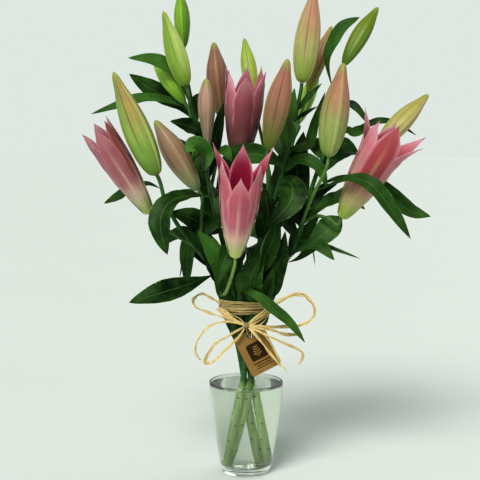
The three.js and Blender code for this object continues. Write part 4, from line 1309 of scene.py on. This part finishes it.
class LILIES_OT_stems(bpy.types.Operator):
    """Build the four leafy stems with their flower stalks and leaves"""

    bl_idname = "lilies.stems"
    bl_label = "Leafy stems"

    def execute(self, context):
        foliage = context.scene.lilies.foliage
        materials = [
            stem_finish(foliage),
            leaf_finish("leaf_upper", foliage.dark, foliage.light, foliage.vein, 0.34),
            leaf_finish("leaf_under", foliage.light, foliage.under, foliage.vein, 0.5),
        ]
        draw = random.Random(7)
        thickness = mm(foliage.thickness)
        scars = [(SCAR_START + SCAR_STEP * k, k * GOLDEN_ANGLE % TURN) for k in range(SCARS)]
        for number, stem in enumerate(STEMS, 1):
            bm = new_shape()
            line = line_to_head(stem["path"], stem["head"])
            tube(bm, line, STEM_RADII, sides=28, step=1.1, scars=scars)
            for head, path in stem["stalks"]:
                tone = PALE_STALKS.get(head) or draw.uniform(*STALK_TONES)
                tube(bm, line_to_head(path, head), STALK_RADII, sides=16, step=2.2, tone=tone)
            node = f"leafy_stem_{number}"
            for path, face, width, widest, tone in leaves_of(stem, node):
                tone = draw.random() if tone is None else tone
                leaf_blade(bm, path, face, width, widest, thickness, tone)
            if number == 1:
                neck_leaves(bm, thickness, draw)
            finish_piece(f"stem_{number}_with_leaves", bm, materials, "foliage", node)
        return {"FINISHED"}


# Buds


def bud_body(bm, name, buds):
    """Spindle of three folded tepals, each with a raised rib, and a seam between them."""
    foot, along, front, right = head_axes(name)
    _, tip, girth, belly = BUDS[name]
    length = (Vector(tip) - foot).length
    lean = lean_of(belly)
    turn_of_ribs = math.radians(BUD_LOOKS[name][-1])
    foot_end, shoulder, tip_end = BUD_FULLNESS

    def ring(row):
        t, is_cap = capped(row, buds.rows)
        round_end = smooth(clamp((t - BUD_SHOULDER) / (1 - BUD_SHOULDER)))
        fullness = lerp(lerp(foot_end, shoulder, t), tip_end, round_end)
        swell = math.sin(math.pi * t**lean) ** fullness if 0 < t < 1 else 0
        radius = girth / 2 * swell + BUD_NECK * (1 - t)
        radius = max(radius, BUD_FOOT * (1 - BUD_FOOT_TAPER * t))
        relief = between(t, *BUD_RELIEF_ENDS)
        middle = foot + along * (length * t)

        def at(turn):
            angle = turn * TURN
            own = angle - turn_of_ribs
            wave = math.cos(3 * own)
            rib = buds.rib * math.exp(-(1 - wave) / BUD_RIB_WIDTH)
            seam = buds.seam * math.exp(-(1 + wave) / BUD_SEAM_WIDTH)
            reach = 0 if is_cap else radius * (1 + BUD_LOBE * wave + (rib - seam) * relief)
            where = around(middle, front, right, reach, angle)
            return where, (math.cos(own), math.sin(own), t), wave

        return at

    rolled(bm, buds.sides, buds.rows, ring)


class LILIES_OT_buds(bpy.types.Operator):
    """Build the fifteen closed buds"""

    bl_idname = "lilies.buds"
    bl_label = "Buds"

    def execute(self, context):
        buds = context.scene.lilies.buds
        slots = {s["node"]: s["material_slot"] for s in frame["record"]["subparts"]}
        for name in BUDS:
            bm = new_shape()
            bud_body(bm, name, buds)
            material = bud_finish(name, BUD_LOOKS[name], buds.tip)
            finish_piece("closed_" + name, bm, [material], slots[name], name)
        return {"FINISHED"}


# Opening flowers


def flower_radius(flower, share, angle):
    """Distance of the flower's wall from its axis."""
    sector = (angle * 6 / TURN) % 6
    k = int(sector)
    tips = flower["tips"]
    tip = lerp(tips[k % 6], tips[(k + 1) % 6], smooth(sector - k))
    swell = math.sin(math.pi / 2 * min(share / WIDEST, 1)) ** TUBE_FULLNESS
    wall = FLOWER_FOOT + (flower["body"] - FLOWER_FOOT) * swell
    return wall + (tip - flower["body"]) * max(0, (share - FLARE_START) / (1 - FLARE_START)) ** 2


def flower_place(name, share, angle, out):
    """Place on a flower's wall, moved out by a distance."""
    flower = HEADS[name]
    foot, along, front, right = head_axes(name)
    length = (Vector(flower["tip"]) - foot).length
    reach = flower_radius(flower, share, angle) + out
    return around(foot + along * (share * length), front, right, reach, angle)


def tepal(bm, name, k, petals, tone):
    """Folded tepal with a keel and ruffled margins. The odd ones stand inside the others."""
    flower = HEADS[name]
    turn_of_tepal = k * TURN / 6
    inner = k % 2
    offset = -TEPAL_OFFSET if inner else TEPAL_OFFSET
    depth = flower["depth"][k]
    reach = flower["reach"][k]
    sides, rows = TEPAL_GRID
    at_foot, less = TEPAL_BODY

    def ring(row):
        s, is_cap = capped(row, rows)
        share = lerp(TEPAL_ROOT, reach, s)
        fullness = lerp(*flower["fullness"], s)
        blade = max(math.sin(math.pi * s**TEPAL_LEAN), 0) ** fullness
        half = TEPAL_SPREAD * flower["body"] * blade / 2 + TEPAL_CLAW * (1 - s) ** 3
        sweep = min(half / flower_radius(flower, share, turn_of_tepal), MOST_SWEEP)
        body = 0 if is_cap else mm(petals.thickness) / 2 * (at_foot - less * s)
        roll = TEPAL_ROLLS[inner] * min(1, half / TEPAL_ROLL_WIDTH)
        wave = mm(petals.ruffle) * math.sin(TEPAL_RUFFLES * TURN * s + 5 * tone)
        wave *= smooth(clamp(2 * s))
        keel = TEPAL_KEELS[inner] * between(s, *TEPAL_KEEL_ENDS)

        def at(turn):
            q, side = lens(turn)
            angle = turn_of_tepal - (0 if is_cap else q * sweep)
            crest = keel * math.exp(-((q / TEPAL_KEEL_WIDTH) ** 2))
            crest *= 1 if side > 0 else TEPAL_KEEL_INSIDE
            out = offset + wave * abs(q) ** 3 + crest - roll * q * q + side * body * (1 - q * q)
            droop = 0 if is_cap else TEPAL_DROOP * q * q * s
            return flower_place(name, share - droop, angle, out), (q, s, tone), depth

        return at

    rolled(bm, sides, rows, ring, underside)


def flower_cup(bm, name):
    """Green foot that the tepals grow from, slipping in under them."""
    foot, along, front, right = head_axes(name)
    length = (Vector(HEADS[name]["tip"]) - foot).length
    sides, rows = CUP_GRID
    start, rate = CUP_START

    def ring(row):
        share, is_cap = capped(row, rows)
        height = CUP_HEIGHT * share
        radius = flower_radius(HEADS[name], height / length, 0) + lerp(*CUP_GROWTH, share)
        radius = 0 if is_cap else radius * min(1, start + rate * share)

        def at(turn):
            where = around(foot + along * height, front, right, radius, turn * TURN)
            return where, (0, share, 0)

        return at

    rolled(bm, sides, rows, ring, lambda turn: 2)


class LILIES_OT_blooms(bpy.types.Operator):
    """Build the four opening flowers"""

    bl_idname = "lilies.blooms"
    bl_label = "Opening flowers"

    def execute(self, context):
        petals = context.scene.lilies.petals
        draw = random.Random(11)
        for name, flower in BLOOMS.items():
            bm = new_shape()
            for k in range(6):
                tepal(bm, name, k, petals, draw.random())
            flower_cup(bm, name)
            materials = [
                petal_finish("outside_" + name, flower["outside"], False),
                petal_finish("inside_" + name, flower["inside"], True),
                cup_finish("foot_" + name, flower["outside"]),
            ]
            finish_piece("opening_" + name, bm, materials, "pink_petal", name)
        return {"FINISHED"}


class LILIES_OT_stamens(bpy.types.Operator):
    """Build the stamens and pistil inside each flower"""

    bl_idname = "lilies.stamens"
    bl_label = "Stamens and pistils"

    def execute(self, context):
        petals = context.scene.lilies.petals
        green = grainy_finish("filament", petals.filament, 0.45)
        brown = grainy_finish("anther", petals.anther, 0.8)
        for number, (name, flower) in enumerate(BLOOMS.items(), 1):
            foot, along, front, right = head_axes(name)
            length = (Vector(flower["tip"]) - foot).length
            floor, top = CUP_HEIGHT + GAP, length * STYLE_REACH
            out, low = flower["body"] * STAMEN_SPREAD, length * (STAMEN_REACH - ANTHER_START)
            angles = [(k + 0.5) * TURN / 6 for k in range(6)]

            def spot(radius, angle, height):
                return around(foot + along * height, front, right, radius, angle)

            bm = new_shape()
            radius, high = OVARY
            spindle(bm, spot(0, 0, floor), spot(0, 0, floor + high), radius, fullness=0.4)
            style = [spot(0, 0, floor + 1), spot(0, 0, top - 4)]
            tube(bm, style, STYLE_RADII, sides=14, step=3)
            for angle in (k * TURN / 3 for k in range(3)):
                start, end = spot(0.4, angle, top - LOBE_LENGTH), spot(1.6, angle, top)
                spindle(bm, start, end, LOBE_RADIUS, sides=10, rows=10)
            for angle in angles:
                line = [
                    spot(1.4, angle, floor + 1),
                    spot(out / 2, angle, length * 0.35),
                    spot(out, angle, length * STAMEN_REACH),
                ]
                tube(bm, line, FILAMENT_RADII, sides=10, step=4)
            anthers = len(bm.faces)
            for angle in angles:
                for turn in (angle + half / out for half in ANTHER_HALVES):
                    start, end = spot(out * 0.9, turn, low), spot(out, turn, low + ANTHER_LENGTH)
                    spindle(bm, start, end, ANTHER_RADIUS, sides=10, rows=12)
            bm.faces.ensure_lookup_table()
            for face in bm.faces[anthers:]:
                face.material_index = 1
            finish_piece(f"pistil_{number}", bm, [green, brown], "stamens", f"stamens_{number}")
        return {"FINISHED"}


# Raffia and tag


def ribbon(bm, points, facing, width, thickness, tone, step=1.6, twist=0.0, painted_shade=0.0):
    """Dry flat ribbon along a curve. facing(point) gives the way its face looks."""
    line = stations([Vector(point) for point in points], step)
    rows = len(line) + 1
    whole = line[-1][3]
    at_end, rate = RIBBON_ENDS

    def ring(row):
        i = min(max(row - 1, 0), len(line) - 1)
        point, _, _, distance = line[i]
        along = (line[min(i + 1, len(line) - 1)][0] - line[max(i - 1, 0)][0]).normalized()
        share = distance / whole
        across = facing(point).cross(along).normalized()
        across = Matrix.Rotation(twist * math.sin(math.pi * share), 3, along) @ across
        above = along.cross(across)
        is_cap = row in (0, rows)
        uneven = 1 - RIBBON_UNEVEN * (1 - math.sin(RIBBON_WAVE * distance + 20 * tone))
        full = min(1, at_end + rate * min(share, 1 - share))
        half = 0 if is_cap else width / 2 * uneven * full

        def at(turn):
            q, side = lens(turn)
            body = thickness / 2 * (1 - RIBBON_EDGE * q * q)
            rise = RIBBON_CURL * half * q * q + side * body
            where = point + across * (half * q) + above * (0 if is_cap else rise)
            # the strip's painted shade is kept as its mark
            return where, (q, distance, tone * 10), painted_shade

        return at

    rolled(bm, RIBBON_SIDES, rows, ring)


def raffia_wrap(bm, raffia, draw):
    """Turns of raffia round the stems, each a little slanted and loose."""
    thickness = mm(raffia.thickness)
    steps, overlap = WRAP_POINTS
    for k in range(raffia.turns):
        level = WRAP_LOW + WRAP_HEIGHT * (k + 0.5) / raffia.turns
        out = draw.uniform(*WRAP_LAYERS)
        first, slant = draw.uniform(0, TURN), draw.uniform(*WRAP_SLANTS)
        phase = draw.uniform(0, TURN)
        line = []
        for i in range(steps + overlap):
            angle = first + i * TURN / steps
            sway = slant * math.sin(angle + phase)
            line.append((
                (WRAP_WIDTH + out) * math.cos(angle),
                (WRAP_DEPTH + out) * math.sin(angle),
                level + sway,
            ))
            out += draw.uniform(-WRAP_DRIFT, WRAP_DRIFT)

        def outward(point):
            return Vector((point.x / WRAP_WIDTH**2, point.y / WRAP_DEPTH**2, 0))

        width, tone = draw.uniform(*WRAP_STRIPS), draw.random()
        # painted shade of the wrap's strips, which lie in the shade of the leaves
        painted_shade = draw.uniform(*WRAP_PAINTED_SHADES)
        ribbon(bm, line, outward, width, thickness, tone, step=2.2, painted_shade=painted_shade)


def raffia_knot(bm, raffia, draw):
    """Strips tied over a core that fills the knot."""
    knot = Vector(KNOT)
    radius, half = KNOT_CORE
    steps, overlap = KNOT_POINTS
    end = Vector((half, 0, 0))
    spindle(bm, knot - end, knot + end, radius, sides=20, rows=12, fullness=0.5, tone=0.3)
    for tilt in KNOT_TILTS:
        turn = Matrix.Rotation(math.radians(tilt), 3, "Y")
        reach = draw.uniform(*KNOT_REACHES)
        line = []
        for angle in (TURN * i / steps for i in range(steps + overlap)):
            aside = draw.uniform(-KNOT_DRIFT, KNOT_DRIFT)
            place = Vector((aside, reach * math.cos(angle), reach * math.sin(angle)))
            line.append(knot + turn @ place)
        width, tone = draw.uniform(*KNOT_STRIPS), draw.random()
        # the knot's strips get the deepest painted shade
        ribbon(bm, line, lambda point: point - knot, width, mm(raffia.thickness), tone,
               step=1.2, painted_shade=1.0)


def raffia_ribbons(bm, raffia, draw):
    """Loops and loose ends, each one broad strip with finer ones beside it."""
    for width, strands, parted, line in RIBBONS:
        for strand in range(strands):
            spread = 0 if strand == 0 else parted
            points = []
            for point in line:
                loose = KNOT_HOLD if point == KNOT else 1
                shift = [draw.uniform(-spread, spread) * loose for _ in range(3)]
                shift[1] *= STRAND_DEPTH
                points.append(Vector(point) + Vector(shift))
            broad = width * (BROAD_STRAND if strand == 0 else draw.uniform(*STRAND_WIDTHS))
            twist = draw.uniform(-STRAND_TWIST, STRAND_TWIST)
            # loose strands get little painted shade
            tone, painted_shade = draw.random(), draw.uniform(*STRAND_PAINTED_SHADES)
            ribbon(bm, points, lambda point: RIBBON_FACE, broad, mm(raffia.thickness), tone,
                   twist=twist, painted_shade=painted_shade)


def tag_loop(bm, raffia):
    """Thin ribbon from the knot through the hole of the tag and back."""
    hole = TAG_PLACE @ Vector((0, TAG_HOLE_RISE, 0))
    knot = Vector(KNOT)
    line = [
        knot, (1, knot.y - 2, 178), hole + Vector((-0.5, -3, -2)), hole,
        hole + Vector((0, 2.6, 1.5)), (1.5, hole.y + 1.2, 181), knot,
    ]
    ribbon(bm, line, lambda point: Vector((-1, 0, 0.1)), 1.8, mm(raffia.thickness), 0.4, step=1.2)


class LILIES_OT_raffia(bpy.types.Operator):
    """Build the raffia wrap, knot, loops and loose ends"""

    bl_idname = "lilies.raffia"
    bl_label = "Raffia tie"

    def execute(self, context):
        raffia = context.scene.lilies.raffia
        draw = random.Random(23)
        bm = new_shape()
        raffia_wrap(bm, raffia, draw)
        raffia_knot(bm, raffia, draw)
        raffia_ribbons(bm, raffia, draw)
        tag_loop(bm, raffia)
        finish_piece("raffia_bow", bm, [raffia_finish(raffia)], "raffia", "raffia_tie")
        return {"FINISHED"}


def plate(bm, width, height, corner, middle, turn=0.0):
    """Flat panel with rounded corners, returned as its vertices."""
    made = bmesh.ops.create_grid(bm, x_segments=1, y_segments=1, size=0.5)["verts"]
    bmesh.ops.scale(bm, vec=(width, height, 1), verts=made)
    edges = {edge for vert in made for edge in vert.link_edges}
    before = set(bm.verts) - set(made)
    bmesh.ops.bevel(
        bm, geom=[*made, *edges], offset=corner, offset_type="OFFSET", segments=6, profile=0.5,
        affect="VERTICES", material=-1,
    )
    verts = [vert for vert in bm.verts if vert not in before]
    place = Matrix.Translation(Vector(middle)) @ Matrix.Rotation(turn, 4, "Z")
    bmesh.ops.transform(bm, matrix=place, verts=verts)
    return verts


def raise_faces(bm, faces, height, slot):
    """Gives flat faces a thickness."""
    grown = bmesh.ops.extrude_face_region(bm, geom=faces)["geom"]
    verts = [item for item in grown if isinstance(item, bmesh.types.BMVert)]
    bmesh.ops.translate(bm, vec=(0, 0, height), verts=verts)
    for face in {face for vert in verts for face in vert.link_faces} | set(faces):
        if face.is_valid:
            face.material_index = slot


def printed(bm, width, height, corner, middle, rise, slot, turn=0.0):
    """Thin raised shape on the tag, in one of its two finishes."""
    verts = plate(bm, width, height, corner, (*middle, rise), turn)
    faces = list({face for vert in verts for face in vert.link_faces})
    raise_faces(bm, faces, INK_RISE, slot)


class LILIES_OT_tag(bpy.types.Operator):
    """Build the kraft card tag with a plain printed panel"""

    bl_idname = "lilies.tag"
    bl_label = "Card tag"

    def execute(self, context):
        tag = context.scene.lilies.tag
        width, height, thickness = TAG_SIZE
        card, ink = 0, 1
        bm = new_shape()
        plate(bm, width, height, TAG_CORNER, (0, 0, 0))
        rim = bmesh.ops.create_circle(bm, segments=40, radius=TAG_HOLE)["verts"]
        bmesh.ops.translate(bm, vec=(0, TAG_HOLE_RISE, 0), verts=rim)
        bmesh.ops.delete(bm, geom=bm.faces[:], context="FACES_ONLY")
        bmesh.ops.triangle_fill(bm, use_beauty=True, use_dissolve=False, edges=bm.edges[:])
        raise_faces(bm, bm.faces[:], thickness, card)
        bmesh.ops.translate(bm, vec=(0, 0, -thickness / 2), verts=bm.verts)
        face = thickness / 2
        for shape in TAG_PRINT:
            printed(bm, *shape, face, ink)
        printed(bm, *TAG_SPRIG, face + INK_RISE, card)
        for k, rise in enumerate(SPRIG_RISES):
            for side in (-1, 1):
                leaf = (4.8 - 0.6 * k, 1.4, 0.6, (side * (2.9 - 0.4 * k) - 0.5, rise + 1.2))
                printed(bm, *leaf, face + INK_RISE, card, side * SPRIG_LEAN)
        bmesh.ops.transform(bm, matrix=TAG_PLACE, verts=bm.verts)
        materials = [card_finish(tag), grainy_finish("tag_ink", tag.ink, 0.7)]
        finish_piece("card_tag", bm, materials, "kraft_card", "kraft_tag")
        return {"FINISHED"}


# Stage


def sun(name, toward, strength, spread, color):
    """Soft light from one side."""
    light = bpy.data.lights.new(name, "SUN")
    light.energy, light.angle, light.color = strength, math.radians(spread), color
    lamp = bpy.data.objects.new(name, light)
    lamp.rotation_euler = Vector(toward).to_track_quat("Z", "Y").to_euler()
    bpy.context.scene.collection.objects.link(lamp)


def surround(studio):
    """Pale light from all round, brightest near the horizon."""
    world = bpy.data.worlds.new("surround")
    bpy.context.scene.world = world
    world.use_nodes = True
    nodes, links = world.node_tree.nodes, world.node_tree.links
    direction = nodes.new("ShaderNodeSeparateXYZ")
    links.new(nodes.new("ShaderNodeTexCoord").outputs["Generated"], direction.inputs[0])
    grade = nodes.new("ShaderNodeMapRange")
    grade.interpolation_type = "SMOOTHSTEP"
    links.new(direction.outputs[2], grade.inputs[0])
    for socket, height in zip(("From Min", "From Max"), HORIZON_FADE):
        grade.inputs[socket].default_value = height
    mix = nodes.new("ShaderNodeMix")
    mix.data_type = "RGBA"
    links.new(grade.outputs[0], mix.inputs[0])
    mix.inputs[6].default_value = (*studio.sky, 1)
    mix.inputs[7].default_value = (*studio.zenith, 1)
    links.new(mix.outputs[2], nodes["Background"].inputs["Color"])


class LILIES_OT_stage(bpy.types.Operator):
    """Set the floor, the lights and the camera"""

    bl_idname = "lilies.stage"
    bl_label = "Stage"

    def execute(self, context):
        studio = context.scene.lilies.studio
        scene = context.scene
        bm = bmesh.new()
        bmesh.ops.create_circle(bm, cap_ends=True, segments=96, radius=FLOOR_RADIUS)
        mesh = bpy.data.meshes.new("floor")
        bm.to_mesh(mesh)
        bm.free()
        finish = Finish("floor_paint", Roughness=0.7)
        grain = finish.band(finish.noise(finish.spot(), 3.0), 0, 1, 0.99, 1.01)
        mesh.materials.append(finish.color(finish.shade(studio.floor, grain)))
        floor = bpy.data.objects.new("floor", mesh)
        scene.collection.objects.link(floor)
        floor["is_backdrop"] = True
        surround(studio)
        sun("key", (-0.4, -0.95, 1.1), studio.key, spread=28, color=(1.0, 0.985, 0.96))
        sun("back", (0.7, 0.8, 1.0), studio.back, spread=50, color=(0.96, 0.98, 1.0))
        camera = bpy.data.objects.new("camera", bpy.data.cameras.new("camera"))
        camera.location = studio.camera
        camera.rotation_euler = (math.pi / 2 - studio.pitch, 0, 0)
        camera.data.lens = studio.lens
        scene.collection.objects.link(camera)
        scene.camera = camera
        scene.view_settings.view_transform = "Standard"
        scene.view_settings.look = "Medium High Contrast"
        return {"FINISHED"}


OPERATORS = (
    LILIES_OT_vase,
    LILIES_OT_water,
    LILIES_OT_stems,
    LILIES_OT_buds,
    LILIES_OT_blooms,
    LILIES_OT_stamens,
    LILIES_OT_raffia,
    LILIES_OT_tag,
    LILIES_OT_stage,
)


class LILIES_PT_panel(bpy.types.Panel):
    """Pieces of the bouquet"""

    bl_idname = "LILIES_PT_panel"
    bl_label = "Lilies in a Vase"
    bl_space_type = "VIEW_3D"
    bl_region_type = "UI"
    bl_category = "Lilies"

    def draw(self, context):
        settings = context.scene.lilies
        for operator in OPERATORS:
            self.layout.operator(operator.bl_idname)
        for group in ("glass", "foliage", "buds", "petals", "raffia", "tag", "studio"):
            box = self.layout.box()
            box.label(text=group.capitalize())
            values = getattr(settings, group)
            for name in values.bl_rna.properties.keys():
                if name not in ("rna_type", "name"):
                    box.prop(values, name)


CLASSES = (
    LilyGlass,
    LilyFoliage,
    LilyBuds,
    LilyPetals,
    LilyRaffia,
    LilyTag,
    LilyStudio,
    LilySettings,
    *OPERATORS,
    LILIES_PT_panel,
)


def register():
    for cls in CLASSES:
        bpy.utils.register_class(cls)
    bpy.types.Scene.lilies = PointerProperty(type=LilySettings)


def unregister():
    del bpy.types.Scene.lilies
    for cls in reversed(CLASSES):
        bpy.utils.unregister_class(cls)


def corners(bounds):
    return [[float(value) for value in corner] for corner in bounds]


def main():
    packed = corners(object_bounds())
    register()
    for operator in OPERATORS:
        group, name = operator.bl_idname.split(".")
        getattr(getattr(bpy.ops, group), name)()
    {"cad": packed, "visual": corners(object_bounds())}


if __name__ == "__main__":
    main()
